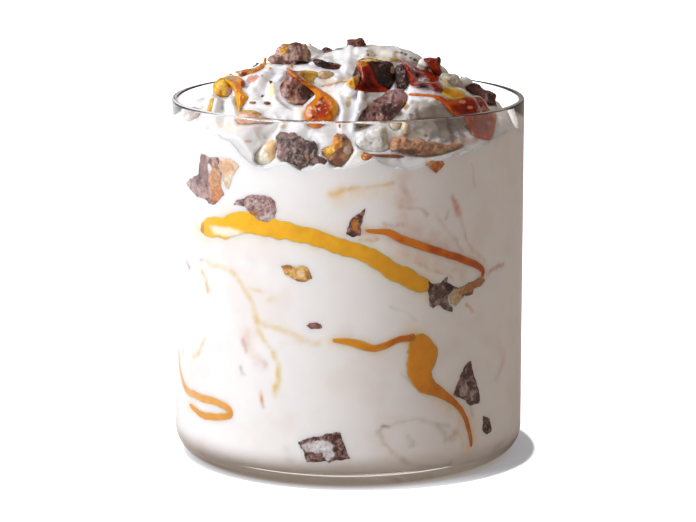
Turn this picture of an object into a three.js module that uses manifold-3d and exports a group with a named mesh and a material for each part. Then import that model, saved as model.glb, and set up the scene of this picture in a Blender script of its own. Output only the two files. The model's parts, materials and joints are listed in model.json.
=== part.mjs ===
// A blended ice cream dessert in its plain straight-sided glass tumbler.
//
// Units are millimetres and +Z is up. The origin is the middle of the glass's foot. The side that
// faces -Y is the front, and an azimuth is counted from there towards +X, in degrees.
//
// The ice cream fills the glass and stands in a mound above it. Caramel ribbons and broken pieces
// of chocolate, nougat and peanut lie against the glass, and larger pieces and caramel lie on top.

import * as THREE from "three";
import { ConvexGeometry } from "three/addons/geometries/ConvexGeometry.js";
import { mergeVertices } from "three/addons/utils/BufferGeometryUtils.js";
import Module from "manifold-3d";

const wasm = await Module();
wasm.setup();

// ---------------------------------------------------------------- driving dimensions

const GLASS = { radius: 44, height: 90, wall: 1.4, floor: 4, heelRadius: 6.5, sides: 64 };

const CONTACT_GAP = 0.3; // between any two neighbouring pieces
const INNER_RADIUS = GLASS.radius - GLASS.wall;
const FILL_RADIUS = INNER_RADIUS - CONTACT_GAP;
const FILL_FLOOR = GLASS.floor + CONTACT_GAP;
const FILL_HEEL = GLASS.heelRadius - GLASS.wall - CONTACT_GAP;

const CROWN_HEIGHT = 100; // the mound's middle, without its lobes
const CROWN_POWER = 2.3; // how full the mound is: 2 is a parabola, more is fuller
const MOUND_RINGS = 14;

const POCKET_GROWTH = 0.42; // how far a pocket lies outside the piece it holds
const WELD = 1e-4; // vertices this close are one

// Where the ice cream meets the glass, as [azimuth, height].
const CONTACT_LINE = [
  [-180, 78.5], [-150, 79.5], [-120, 82], [-90, 83], [-57, 83.6], [-42, 83.8], [-29, 77.9], [-19, 79.6],
  [-15.5, 78], [-9, 79.4], [-1, 78.8], [8.5, 80.6], [15, 78.5], [23.6, 78.9], [31, 80.2], [43, 81.2],
  [53.5, 82.7], [64, 84.2], [90, 80.5], [120, 82], [150, 79.5], [180, 78.5],
];

// Soft heaps on the mound. along and across are half lengths, and turn is the long way's angle from
// +X. rise is how far the heap stands above the plain mound.
const LOBES = [
  { x: 2, y: 0, along: 13, across: 8, turn: 8, rise: 2.6 }, // peak
  { x: -22, y: -7, along: 11, across: 8, turn: 20, rise: 2.4 }, // left shoulder
  { x: -31, y: 1, along: 8, across: 9, turn: 0, rise: 2.2 }, // left hump
  { x: -29.5, y: -19, along: 6, across: 4.5, turn: 30, rise: 2.2 }, // left arch
  { x: -17, y: -28, along: 8, across: 5, turn: -20, rise: 1.4 }, // front left fold
  { x: -1, y: -27, along: 8, across: 4, turn: 80, rise: 1.6 }, // front fold
  { x: 22, y: -25, along: 10, across: 7.5, turn: 35, rise: 3.4 }, // scoop
  { x: 35, y: -6, along: 7, across: 9, turn: 80, rise: 2.4 }, // right hump
  { x: 34, y: -19, along: 8, across: 5, turn: 60, rise: 1.6 }, // right slope
  { x: -13, y: 17, along: 12, across: 8, turn: 150, rise: 2.4 }, // back left
  { x: 15, y: 16, along: 12, across: 8, turn: 40, rise: 2.6 }, // back right
  { x: 1, y: 27, along: 10, across: 7, turn: 5, rise: 2 }, // back
  { x: -26, y: 19, along: 8, across: 7, turn: -40, rise: 1.8 }, // far left
  { x: 25, y: 21, along: 8.5, across: 7, turn: 45, rise: 1.8 }, // far right
];

// Caramel ribbons pressed against the glass. route is [azimuth, height, width], and depth is how far
// the ribbon runs into the ice cream.
const RIBBONS = [
  {
    name: "ribbon_amber_upper", colour: 0xe09a1c, depth: 5,
    routes: [[
      [-55.6, 60.2, 2.4], [-48.1, 61.9, 5.4], [-33.4, 63.9, 6.1], [-15.6, 62.7, 4.6], [0.6, 59.3, 4.4],
      [16.8, 53.4, 4.9], [25, 49.8, 4.4], [28, 48.8, 1.6],
    ]],
  },
  {
    name: "ribbon_red_upper", colour: 0xb8480c, depth: 3.5,
    routes: [[
      [5, 63.8, 1], [12, 63.4, 1.8], [17, 61.5, 2], [24, 59.3, 2.3], [31, 57.2, 2.3], [40, 54.9, 2],
      [46.3, 52.9, 1.6], [49.4, 51, 1.3], [49, 49, 1.1],
    ]],
  },
  {
    name: "ribbon_lower_right", colour: 0xdd8c22, depth: 4,
    routes: [
      [
        [-5, 37.1, 1], [-1, 37, 1.5], [3.8, 36.3, 2], [8, 35.1, 1.3], [12, 35.6, 1.4], [17, 37, 1.8],
        [22, 37, 2.6],
      ],
      [
        [21.5, 37.6, 4], [23.4, 35, 8.5], [24, 31.5, 9], [24.2, 27.8, 7], [27.4, 24.8, 4.2],
        [31.6, 22.4, 2.6], [37, 19.2, 1.7], [41.4, 15.4, 1.5], [43.4, 11, 1.4], [44.2, 7.6, 1.1],
      ],
    ],
  },
  {
    name: "ribbon_loop_lower_left", colour: 0xe0913c, depth: 3,
    routes: [[
      [-75.5, 27.4, 1.2], [-73.4, 22.2, 1.8], [-67, 18.8, 2], [-58.3, 18.3, 2], [-49, 18.4, 1.8],
      [-43.2, 17.7, 1.8], [-42.4, 15.9, 1.8], [-48.1, 14.4, 1.8], [-56.5, 14.2, 1.9], [-64.6, 15, 1.4],
    ]],
  },
  {
    name: "ribbon_back_amber", colour: 0xe09a1c, depth: 5,
    routes: [[
      [118, 66, 1.6], [128, 66.5, 3.8], [142, 64, 5], [160, 59, 4.6], [178, 56.5, 4], [196, 58, 4.4],
      [210, 62, 2.4],
    ]],
  },
  {
    name: "ribbon_back_lower", colour: 0xdd8c22, depth: 4,
    routes: [[
      [104, 40, 1.2], [112, 36, 2.6], [124, 33, 3.6], [138, 32.5, 3], [150, 29, 2.2], [160, 23, 1.8],
      [172, 20, 1.2],
    ]],
  },
  {
    name: "ribbon_back_loop", colour: 0xe0913c, depth: 3,
    routes: [[[188, 30, 1.2], [198, 27, 2.4], [212, 27.5, 3], [226, 31, 2.4], [238, 36, 1.4]]],
  },
];

const CHOCOLATE = 0x6a3d38;
const DARK = 0x43201c;
const MAUVE = 0x93706c;
const NOUGAT = 0xe0bd8c;
const PEANUT = 0xd3a169;
const CARAMEL = 0xc9541a;
const AMBER = 0xe3a128;

// Pieces on the mound. at is the middle's X and Y, and how far it lies above the mound's surface. size
// is width, depth and height before turn, which is pitch, roll and yaw about X, Y and Z. A lump is a
// second piece grown on the first, such as a nut, placed from the first one's middle.
const TOPPINGS = [
  {
    name: "chunk_peak", colour: CHOCOLATE, at: [2.2, 0.5, 0.9],
    size: [4.8, 4, 2.4], turn: [0, 4, 10],
  },
  {
    name: "chunk_top_left", colour: CHOCOLATE, at: [-14.2, -3.5, 2],
    size: [9.5, 7, 6], turn: [0, 4, 8],
    lumps: [{ at: [-4, -1, -1], size: [4.5, 5, 3.4] }],
  },
  {
    name: "chunk_dark_flat", colour: DARK, at: [-5.6, -10.2, 0.1],
    size: [7.6, 3.6, 2.6], turn: [0, 8, 0],
  },
  {
    name: "chunk_dark_centre", colour: CHOCOLATE, at: [-13, -21, 0.4],
    size: [8.4, 6.5, 7.4], turn: [-10, 28, 0],
    lumps: [{ at: [0.5, -1.4, -2.8], size: [6, 4.6, 3.4] }],
  },
  {
    name: "nut_behind_centre", colour: PEANUT, at: [-8.4, -14.6, 0.2],
    size: [6, 3.6, 3], turn: [0, -6, 10],
  },
  { name: "chunk_coated", colour: DARK, at: [7, -16.4, 0.9], size: [11, 8, 8], turn: [-8, 12, 6] },
  {
    name: "chunk_brown_grey", colour: MAUVE, at: [13.6, -15.2, 0.6],
    size: [5, 5.4, 8.2], turn: [0, 14, 0],
  },
  {
    name: "chunk_mauve", colour: MAUVE, at: [8.8, -26.4, 0.5],
    size: [15, 7, 5.8], turn: [-14, -28, 4],
    lumps: [{ at: [-3.6, -0.8, -2.8], size: [7, 5.4, 4] }],
  },
  {
    name: "nougat_white", colour: 0xe9e4d8, at: [6.6, -36, -1.2],
    size: [10, 5.6, 6.6], turn: [-12, -4, 8],
  },
  {
    name: "nut_upper", colour: PEANUT, at: [13.8, -30.6, 0.6],
    size: [6, 4.4, 4], turn: [0, -18, 10],
  },
  {
    name: "nut_lower", colour: PEANUT, at: [12.6, -34.4, 0.4],
    size: [5, 4, 4.4], turn: [0, 20, 20],
  },
  {
    name: "chunk_wide_brown", colour: 0x9a6a48, at: [18.8, -33.4, -1.3],
    size: [17, 5.4, 5.6], turn: [-10, 6, 30],
    lumps: [{ at: [-3.5, 0, 1.2], size: [7, 4.6, 4.4] }],
  },
  {
    name: "nut_front_left", colour: NOUGAT, at: [-19.4, -34, -0.5],
    size: [5.4, 4, 6.2], turn: [0, 16, -28],
  },
  {
    name: "chunk_front_dark", colour: CHOCOLATE, at: [-12.5, -36.4, -1.1],
    size: [10.2, 5.4, 7.4], turn: [-10, 12, -16],
    lumps: [{ at: [3, -1, -1.6], size: [4, 3.4, 3.4] }],
  },
  {
    name: "chunk_front_nut", colour: AMBER, at: [-2.2, -37.2, -1.3],
    size: [6.6, 5, 8], turn: [-8, 14, 0],
    lumps: [{ at: [-2.4, -0.4, -1.4], size: [4, 4, 3.4] }, { at: [2, -0.6, -2], size: [4.2, 4, 3.6] }],
  },
  {
    name: "chunk_front_small", colour: DARK, at: [-7.4, -38.8, -2],
    size: [4.6, 3.4, 3.2], turn: [0, -10, -8],
  },
  {
    name: "slab_left", colour: 0xd98a52, at: [-22, -27.8, -0.7],
    size: [10.6, 5, 2.6], turn: [-16, 6, -14],
  },
  {
    name: "chunk_far_left", colour: MAUVE, at: [-37.6, -4, 0],
    size: [3.6, 3.8, 3.4], turn: [0, 10, 0],
  },
  {
    name: "amber_left", colour: AMBER, at: [-30.8, -6, 1.6],
    size: [6.6, 6.2, 6], turn: [0, -30, 0],
  },
  {
    name: "caramel_nub", colour: CARAMEL, at: [20.6, -5, 1.1],
    size: [4.8, 4.8, 6.4], turn: [0, -4, 0],
  },
  {
    name: "amber_right", colour: AMBER, at: [25.8, -11, 0.1],
    size: [6.4, 5.4, 4.8], turn: [-6, 14, 0],
  },
  {
    name: "chunk_dark_right", colour: DARK, at: [32.2, -6, -0.4],
    size: [8.4, 6, 5.6], turn: [0, 22, 6],
    lumps: [{ at: [-2.6, 0, 0.4], size: [4, 4.6, 4] }],
  },
  {
    name: "chunk_back_1", colour: CHOCOLATE, at: [-6, 15, -1.5],
    size: [8, 7, 5.4], turn: [6, -10, 35],
  },
  { name: "chunk_back_2", colour: MAUVE, at: [11.5, 12.5, -1.4], size: [9.4, 6, 5], turn: [10, 6, -25] },
  {
    name: "chunk_back_3", colour: CHOCOLATE, at: [-21, 17, -1.2],
    size: [9, 7, 6], turn: [14, 0, 30],
  },
  {
    name: "chunk_back_4", colour: DARK, at: [2.5, 23, 0.2],
    size: [10, 6.6, 6.4], turn: [18, 10, -10],
  },
  { name: "chunk_back_5", colour: MAUVE, at: [22, 21, -1.2], size: [8, 6, 6], turn: [16, 0, -40] },
  {
    name: "nut_back_1", colour: PEANUT, at: [-10.5, 26.5, 0.8],
    size: [6, 4.4, 4], turn: [20, 0, 20],
  },
  { name: "nougat_back", colour: NOUGAT, at: [13.5, 31, 0.4], size: [8, 5, 5], turn: [24, 0, -18] },
  {
    name: "amber_back", colour: AMBER, at: [-30, 12, 0.9],
    size: [5.6, 5.4, 4.6], turn: [8, -20, 20],
  },
];

// Pieces pressed against the glass: azimuth and height of the middle, then length along the wall,
// depth and height, and roll in the plane of the wall.
const WALL_PIECES = [
  {
    name: "wall_chunk_left", colour: MAUVE, azimuth: -55.4, height: 73.2,
    size: [16.6, 7, 12.4], roll: 8,
  },
  {
    name: "wall_nougat_left", colour: NOUGAT, azimuth: -40.6, height: 75.4,
    size: [7, 5, 8], roll: -12,
  },
  {
    name: "wall_bean_mauve", colour: MAUVE, azimuth: -31.2, height: 67.8,
    size: [12.6, 5.6, 6.4], roll: 12,
  },
  {
    name: "wall_shard_upper", colour: CHOCOLATE, azimuth: 2.4, height: 65.5,
    size: [3.8, 3.6, 7.4], roll: 26,
  },
  {
    name: "wall_star_chunk", colour: DARK, azimuth: 32.2, height: 47.1,
    size: [9, 6, 9], roll: -12,
  },
  {
    name: "wall_nut_right", colour: PEANUT, azimuth: 41.8, height: 46.6,
    size: [9.6, 4.4, 4.8], roll: -24,
  },
  {
    name: "wall_nut_left", colour: PEANUT, azimuth: -16.7, height: 53.1,
    size: [8.4, 4.4, 4.6], roll: 8,
  },
  {
    name: "wall_bean_small", colour: DARK, azimuth: -11, height: 40.6,
    size: [4.4, 2.6, 1.8], roll: 2,
  },
  {
    name: "wall_chunk_bottom", colour: CHOCOLATE, azimuth: -7.7, height: 10.5,
    size: [12.8, 7, 7.8], roll: -6,
  },
  {
    name: "wall_shard_right", colour: MAUVE, azimuth: 42.4, height: 24.2,
    size: [7.6, 5, 11], roll: 12,
  },
  {
    name: "wall_chip_right", colour: CHOCOLATE, azimuth: 52.6, height: 12.2,
    size: [4, 3.4, 5.6], roll: -14,
  },
  {
    name: "wall_caramel_bit", colour: CARAMEL, azimuth: 28.6, height: 77.7,
    size: [5.4, 3, 3.2], roll: 0,
  },
  {
    name: "wall_back_chunk_1", colour: CHOCOLATE, azimuth: 96, height: 55,
    size: [8.6, 5.6, 7], roll: 20,
  },
  {
    name: "wall_back_chunk_2", colour: MAUVE, azimuth: 152, height: 72,
    size: [10, 6, 6.4], roll: -14,
  },
  {
    name: "wall_back_chunk_3", colour: DARK, azimuth: 176, height: 40,
    size: [7.4, 5, 8], roll: 24,
  },
  {
    name: "wall_back_chunk_4", colour: CHOCOLATE, azimuth: 222, height: 49,
    size: [9, 5.6, 6.4], roll: -8,
  },
  {
    name: "wall_back_nut", colour: PEANUT, azimuth: 134, height: 17,
    size: [6.8, 4.4, 4.6], roll: 12,
  },
];

// Thick caramel lying on the mound: [x, y] along the run, its width and how far it stands up.
const CARAMEL_RUNS = [
  // over the left shoulder
  { width: 3.4, rise: 0.9, route: [[-19.5, -5], [-24, -8], [-27.5, -11]] },
  // down the left arch
  { width: 2.6, rise: 0.9, route: [[-27.6, -12.5], [-26, -17.5], [-25, -22]] },
  // to the front drip
  { width: 3, rise: 1, route: [[-13, -11.6], [-9, -16.4], [-6.6, -20.6], [-6.2, -24]] },
  // front drip
  { width: 6, rise: 1.7, route: [[-6.4, -24.6], [-7, -28], [-7.6, -31]] },
  // peak line
  { width: 1.8, rise: 0.6, route: [[1.6, -8.4], [6, -7], [12, -7.4]] },
  // red flow
  { width: 5.4, rise: 1.3, route: [[16.4, -7.4], [19.6, -12.6], [21.4, -16]] },
  // right stream
  { width: 3.4, rise: 1, route: [[16, -21.6], [21, -19.6], [27, -17.6], [32, -18.6], [34.8, -22.4]] },
  // back run
  { width: 3.4, rise: 1, route: [[-14, 10], [-15, 17], [-19, 24], [-21, 29]] },
  // far back run
  { width: 4, rise: 1.1, route: [[12, 17.6], [13, 23], [9, 27.6]] },
];

const CRUMBS = { count: 18, seed: 41, smallest: 0.7, largest: 1.25, clearance: 0.7, edge: 38 };
const RUN_SECTION_SIDES = 8;
const RUN_STEP = 3;
const HULL_CORNERS = 14; // corners of a broken piece
const HULL_SQUARENESS = 3.4; // 2 is an egg, more is boxier
const RIBBON_STEP = 5.2;
// A ribbon's section: half widths from its middle, and shares of its depth behind the wall.
const RIBBON_SECTION = [[1, 0], [0, 0], [-1, 0], [-0.5, 1], [0.5, 1]];
const WALL_BREAKTHROUGH = 0.4; // share of its growth that a pocket stands out past the filling
const WALL_SINK = 0.24; // how deep a wall piece's middle lies, as a share of its depth

// ---------------------------------------------------------------- small helpers

const radians = THREE.MathUtils.degToRad;
const wallArc = (azimuth) => radians(azimuth) * FILL_RADIUS;

/** A repeatable stream of numbers from 0 to 1. */
function seededRandom(seed) {
  let state = seed >>> 0;
  return () => {
    state = (state + 0x6d2b79f5) >>> 0;
    let mixed = Math.imul(state ^ (state >>> 15), 1 | state);
    mixed = (mixed + Math.imul(mixed ^ (mixed >>> 7), 61 | mixed)) ^ mixed;
    return ((mixed ^ (mixed >>> 14)) >>> 0) / 4294967296;
  };
}

/** A seed that follows from a piece's name. */
function seedOf(name) {
  return [...name].reduce((sum, letter) => (sum * 31 + letter.charCodeAt(0)) >>> 0, 7);
}

/** The closed solid of a three.js geometry. */
function solidOf(geometry) {
  const bare = geometry.clone();
  bare.deleteAttribute("normal");
  bare.deleteAttribute("uv");
  const merged = mergeVertices(bare, WELD);
  const corners = [];
  for (let i = 0; i < merged.index.count; i += 3) {
    const triangle = [merged.index.getX(i), merged.index.getX(i + 1), merged.index.getX(i + 2)];
    if (new Set(triangle).size === 3) corners.push(...triangle);
  }
  const vertProperties = Float32Array.from(merged.attributes.position.array);
  const triVerts = Uint32Array.from(corners);
  return new wasm.Manifold(new wasm.Mesh({ numProp: 3, vertProperties, triVerts }));
}

/** The geometry of a solid. */
function geometryOf(solid) {
  const mesh = solid.getMesh();
  const geometry = new THREE.BufferGeometry();
  geometry.setAttribute("position", new THREE.BufferAttribute(Float32Array.from(mesh.vertProperties), 3));
  geometry.setIndex(new THREE.BufferAttribute(Uint32Array.from(mesh.triVerts), 1));
  geometry.computeVertexNormals();
  return geometry;
}

/** The largest body of a solid, without any loose scrap that a cut left. */
function largestBody(solid) {
  return solid.decompose().reduce((best, body) => (body.volume() > best.volume() ? body : best));
}

/** How far the ice cream reaches from the axis at a height: less where the glass's heel curves in. */
function fillRadius(height) {
  const belowHeel = THREE.MathUtils.clamp(FILL_FLOOR + FILL_HEEL - height, 0, FILL_HEEL);
  return FILL_RADIUS - FILL_HEEL + Math.sqrt(FILL_HEEL ** 2 - belowHeel ** 2);
}

/** Points of an arc in the profile plane, both ends included, angles in degrees from +X. */
function arc(x, y, radius, from, to, steps) {
  return Array.from({ length: steps + 1 }, (_, i) => {
    const angle = radians(from + ((to - from) * i) / steps);
    return new THREE.Vector2(x + radius * Math.cos(angle), y + radius * Math.sin(angle));
  });
}

/** A solid of revolution about +Z whose azimuth 0 faces -Y. */
function revolved(profile, sides) {
  return new THREE.LatheGeometry(profile, sides).rotateX(Math.PI / 2);
}

// ---------------------------------------------------------------- the mound's surface

const contactCurve = new THREE.CatmullRomCurve3(
  CONTACT_LINE.map(([azimuth, height]) => new THREE.Vector3(azimuth, height, 0)),
);

/** Height at which the ice cream meets the glass. */
function contactHeight(azimuth) {
  const next = CONTACT_LINE.findIndex(([start]) => start >= azimuth);
  const upper = Math.max(next, 1);
  const [from, to] = [CONTACT_LINE[upper - 1][0], CONTACT_LINE[upper][0]];
  const share = THREE.MathUtils.clamp((azimuth - from) / (to - from), 0, 1);
  return contactCurve.getPoint((upper - 1 + share) / (CONTACT_LINE.length - 1)).y;
}

/** A soft bump: 1 in the middle, 0 from distance 1 on. */
function bump(distance) {
  return distance < 1 ? (1 - distance * distance) ** 2 : 0;
}

/** Height of the ice cream above the foot at x, y. */
function moundHeight(x, y) {
  const share = Math.min(Math.hypot(x, y) / FILL_RADIUS, 1);
  const contact = contactHeight(THREE.MathUtils.radToDeg(Math.atan2(x, -y)));
  const dome = contact + (CROWN_HEIGHT - contact) * (1 - share ** CROWN_POWER);
  const rises = LOBES.map((lobe) => {
    const angle = radians(lobe.turn);
    const [dx, dy] = [x - lobe.x, y - lobe.y];
    const along = (dx * Math.cos(angle) + dy * Math.sin(angle)) / lobe.along;
    const across = (dy * Math.cos(angle) - dx * Math.sin(angle)) / lobe.across;
    return lobe.rise * bump(Math.hypot(along, across));
  });
  return dome + rises.reduce((sum, rise) => sum + rise, 0);
}

// ---------------------------------------------------------------- glass

/** The tumbler: straight wall, thick floor, rounded heel and rounded rim. */
function glassGeometry() {
  const rim = GLASS.wall / 2;
  const innerHeel = GLASS.heelRadius - GLASS.wall;
  const profile = [
    new THREE.Vector2(0, 0),
    ...arc(GLASS.radius - GLASS.heelRadius, GLASS.heelRadius, GLASS.heelRadius, -90, 0, 5),
    ...arc(GLASS.radius - rim, GLASS.height - rim, rim, 0, 180, 4),
    ...arc(INNER_RADIUS - innerHeel, GLASS.floor + innerHeel, innerHeel, 0, -90, 3),
    new THREE.Vector2(0, GLASS.floor),
  ];
  return revolved(profile, GLASS.sides);
}

// ---------------------------------------------------------------- broken pieces

/** Corners of a rounded box, jittered, so that their hull is a broken piece. */
function brokenPiece(size, seed, growth = 0) {
  const random = seededRandom(seed);
  const half = new THREE.Vector3(...size).multiplyScalar(0.5).addScalar(growth);
  const golden = Math.PI * (3 - Math.sqrt(5));
  const corners = Array.from({ length: HULL_CORNERS }, (_, i) => {
    const z = 1 - (2 * (i + 0.5)) / HULL_CORNERS;
    const angle = golden * i + 1.1 * random();
    const flat = Math.sqrt(1 - z * z);
    const way = new THREE.Vector3(flat * Math.cos(angle), flat * Math.sin(angle), z);
    const power = HULL_SQUARENESS;
    const span = way.toArray().reduce((sum, part) => sum + Math.abs(part) ** power, 0) ** (1 / power);
    return way.multiplyScalar((0.84 + 0.16 * random()) / span).multiply(half);
  });
  return solidOf(new ConvexGeometry(corners));
}

/** A broken piece with its lumps, in its own frame. */
function pieceWithLumps(piece, growth = 0) {
  const seed = seedOf(piece.name);
  const lumps = piece.lumps ?? [];
  return lumps.reduce(
    (solid, lump, i) => solid.add(brokenPiece(lump.size, seed + i + 1, growth).translate(lump.at)),
    brokenPiece(piece.size, seed, growth),
  );
}

/** Where a topping lies. */
function toppingPlace(piece) {
  const place = new THREE.Object3D();
  const [x, y, lift] = piece.at;
  place.position.set(x, y, moundHeight(x, y) + lift);
  place.rotation.set(...piece.turn.map(radians), "ZYX");
  return place;
}

/** Where a piece against the wall lies: its depth runs along the radius. */
function wallPlace(piece) {
  const place = new THREE.Object3D();
  const [, depth] = piece.size;
  const angle = radians(piece.azimuth);
  const radius = FILL_RADIUS - depth * WALL_SINK;
  place.position.set(radius * Math.sin(angle), -radius * Math.cos(angle), piece.height);
  place.rotation.set(0, radians(piece.roll), angle, "ZYX");
  return place;
}

/** A solid moved from a piece's own frame to the part's. */
function movedTo(place, solid) {
  place.updateMatrix();
  return solid.transform(place.matrix.elements);
}

/** A solid moved back from the part's frame to a piece's own. */
function movedFrom(place, solid) {
  place.updateMatrix();
  return solid.transform(place.matrix.clone().invert().elements);
}

/** The space inside the glass's wall, down to the floor. */
function insideOfGlass(radius, floor, sides) {
  const top = GLASS.height * 2;
  const heel = FILL_HEEL + radius - FILL_RADIUS;
  const profile = [
    new THREE.Vector2(0, floor),
    ...arc(radius - heel, floor + heel, heel, -90, 0, 3),
    new THREE.Vector2(radius, top),
    new THREE.Vector2(0, top),
  ];
  return solidOf(revolved(profile, sides));
}

// ---------------------------------------------------------------- ribbons

/** One strip of caramel against the wall, from stations of [azimuth, height, width]. */
function ribbonStrip(route, depth, growth) {
  const stations = route.map(([azimuth, z, width]) => new THREE.Vector3(wallArc(azimuth), z, width));
  const along = new THREE.CatmullRomCurve3(stations);
  const steps = Math.ceil(along.getLength() / RIBBON_STEP);
  const onWall = (s, z, sunk) => {
    const angle = s / FILL_RADIUS;
    const radius = fillRadius(z) - sunk;
    return [radius * Math.sin(angle), -radius * Math.cos(angle), z];
  };
  const points = [];
  for (let i = 0; i <= steps; i += 1) {
    const reached = i / steps;
    const middle = along.getPoint(reached);
    const way = along.getTangent(reached);
    const slope = new THREE.Vector2(way.x, way.y).normalize();
    const end = i === 0 ? -growth : i === steps ? growth : 0;
    const half = middle.z / 2 + growth;
    const deep = depth * (0.35 + 0.65 * Math.sin(Math.PI * reached));
    for (const [side, share] of RIBBON_SECTION) {
      const s = middle.x + end * slope.x - side * half * slope.y;
      const z = middle.y + end * slope.y + side * half * slope.x;
      points.push(...onWall(s, z, share > 0 ? deep * share + growth : -growth * WALL_BREAKTHROUGH));
    }
  }
  const ring = RIBBON_SECTION.length;
  const index = [];
  for (let i = 0; i < steps; i += 1) {
    for (let k = 0; k < ring; k += 1) {
      const [a, b] = [i * ring + k, i * ring + ((k + 1) % ring)];
      index.push(a, b + ring, b, a, a + ring, b + ring);
    }
  }
  for (let k = 1; k < ring - 1; k += 1) {
    index.push(0, k, k + 1);
    index.push(steps * ring, steps * ring + k + 1, steps * ring + k);
  }
  const geometry = new THREE.BufferGeometry();
  geometry.setAttribute("position", new THREE.BufferAttribute(Float32Array.from(points), 3));
  geometry.setIndex(index.reverse());
  return solidOf(geometry);
}

/** All strips of a ribbon, joined. */
function ribbonSolid(ribbon, growth = 0) {
  const strips = ribbon.routes.map((route) => ribbonStrip(route, ribbon.depth, growth));
  return strips.reduce((sum, strip) => sum.add(strip));
}

// ---------------------------------------------------------------- ice cream

/** The filling without its pockets: the glass's inside, with the mound on top. */
function plainFilling() {
  const rings = Array.from({ length: MOUND_RINGS + 1 }, (_, i) => FILL_RADIUS * (1 - i / MOUND_RINGS));
  const profile = [
    new THREE.Vector2(0, FILL_FLOOR),
    ...arc(FILL_RADIUS - FILL_HEEL, FILL_FLOOR + FILL_HEEL, FILL_HEEL, -90, 0, 3),
    ...rings.map((radius) => new THREE.Vector2(radius, GLASS.height)),
  ];
  const geometry = revolved(profile, GLASS.sides);
  const positions = geometry.attributes.position;
  for (let i = 0; i < positions.count; i += 1) {
    if (positions.getZ(i) < GLASS.height - WELD) continue;
    positions.setZ(i, moundHeight(positions.getX(i), positions.getY(i)));
  }
  return solidOf(geometry);
}

/** A run of thick caramel, half sunk in the mound. */
function caramelRun(run) {
  const radius = run.width / 2;
  const sunk = radius - run.rise;
  const points = run.route.map(([x, y]) => new THREE.Vector3(x, y, moundHeight(x, y) - sunk));
  const path = new THREE.CatmullRomCurve3(points);
  const section = new THREE.Shape(
    Array.from({ length: RUN_SECTION_SIDES }, (_, i) => {
      const angle = (2 * Math.PI * i) / RUN_SECTION_SIDES;
      return new THREE.Vector2(radius * Math.cos(angle), radius * Math.sin(angle));
    }),
  );
  const steps = Math.ceil(path.getLength() / RUN_STEP);
  return solidOf(new THREE.ExtrudeGeometry(section, { steps, bevelEnabled: false, extrudePath: path }));
}

/** Small crumbs scattered over the mound, clear of the larger pieces. */
function crumbs() {
  const random = seededRandom(CRUMBS.seed);
  const solids = [];
  while (solids.length < CRUMBS.count) {
    const radius = CRUMBS.smallest + (CRUMBS.largest - CRUMBS.smallest) * random();
    const reach = CRUMBS.edge * Math.sqrt(random());
    const angle = 2 * Math.PI * random();
    const [x, y] = [reach * Math.cos(angle), reach * Math.sin(angle)];
    const spin = new THREE.Euler(3 * random(), 3 * random(), 3 * random());
    const taken = TOPPINGS.some((piece) => {
      const half = Math.hypot(piece.size[0], piece.size[1]) / 2;
      return Math.hypot(x - piece.at[0], y - piece.at[1]) < half + radius + CRUMBS.clearance;
    });
    if (taken) continue;
    const crumb = new THREE.IcosahedronGeometry(radius, 0);
    crumb.scale(1.25, 1, 0.8);
    crumb.applyMatrix4(new THREE.Matrix4().makeRotationFromEuler(spin));
    crumb.translate(x, y, moundHeight(x, y) + radius * 0.1);
    solids.push(solidOf(crumb));
  }
  return solids;
}

// ---------------------------------------------------------------- the scene graph

const dessert = new THREE.Group();

/** Adds a named mesh with its own material, where place says. */
function addMesh(name, geometry, material, place) {
  const mesh = new THREE.Mesh(geometry, new THREE.MeshStandardMaterial(material));
  mesh.name = name;
  if (place) {
    mesh.position.copy(place.position);
    mesh.quaternion.copy(place.quaternion);
  }
  dessert.add(mesh);
}

const CLEAR_GLASS = { color: 0xf4f6f6, roughness: 0.02, metalness: 0, transparent: true, opacity: 0.3 };
const ICE_CREAM = { color: 0xf3efea, roughness: 0.5, metalness: 0 };

addMesh("glass", glassGeometry(), CLEAR_GLASS);

const cavity = insideOfGlass(FILL_RADIUS, FILL_FLOOR, 2 * GLASS.sides);
const pockets = [];

/** A solid without the pockets of the pieces placed before it. */
function clearOfPockets(solid) {
  return largestBody(pockets.reduce((rest, pocket) => rest.subtract(pocket), solid));
}

/** Adds broken pieces, each where placeOf says, and takes their pockets. */
function addPieces(pieces, placeOf) {
  for (const piece of pieces) {
    const place = placeOf(piece);
    const solid = clearOfPockets(movedTo(place, pieceWithLumps(piece)).intersect(cavity));
    const material = { color: piece.colour, roughness: 0.6, metalness: 0 };
    addMesh(piece.name, geometryOf(movedFrom(place, solid)), material, place);
    pockets.push(movedTo(place, pieceWithLumps(piece, POCKET_GROWTH)));
  }
}

/** Adds the caramel ribbons and takes their pockets. */
function addRibbons() {
  for (const ribbon of RIBBONS) {
    const material = { color: ribbon.colour, roughness: 0.25, metalness: 0 };
    addMesh(ribbon.name, geometryOf(clearOfPockets(ribbonSolid(ribbon))), material);
    pockets.push(ribbonSolid(ribbon, POCKET_GROWTH));
  }
}

addPieces(WALL_PIECES, wallPlace);
addRibbons();
addPieces(TOPPINGS, toppingPlace);

const extras = [...CARAMEL_RUNS.map(caramelRun), ...crumbs()].map((extra) => extra.intersect(cavity));
const toppedFilling = extras.reduce((sum, extra) => sum.add(extra), plainFilling());
addMesh("ice_cream", geometryOf(clearOfPockets(toppedFilling)), ICE_CREAM);

export default dessert;
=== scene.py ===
"""A blended ice cream dessert in its glass tumbler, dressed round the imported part.

Meshes are worked out in millimetres and turned into metres when they are shown. +Z is up, the middle
of the glass's foot is the origin and the front faces -Y. A place on the glass's wall is an azimuth,
counted in degrees from the front towards +X, and a height.
"""

from __future__ import annotations

import json
import logging
import math
from dataclasses import dataclass, replace
from enum import Enum

import bmesh
import bpy
import numpy as np
from mathutils import Matrix, Vector, noise
from mathutils.bvhtree import BVHTree

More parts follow.
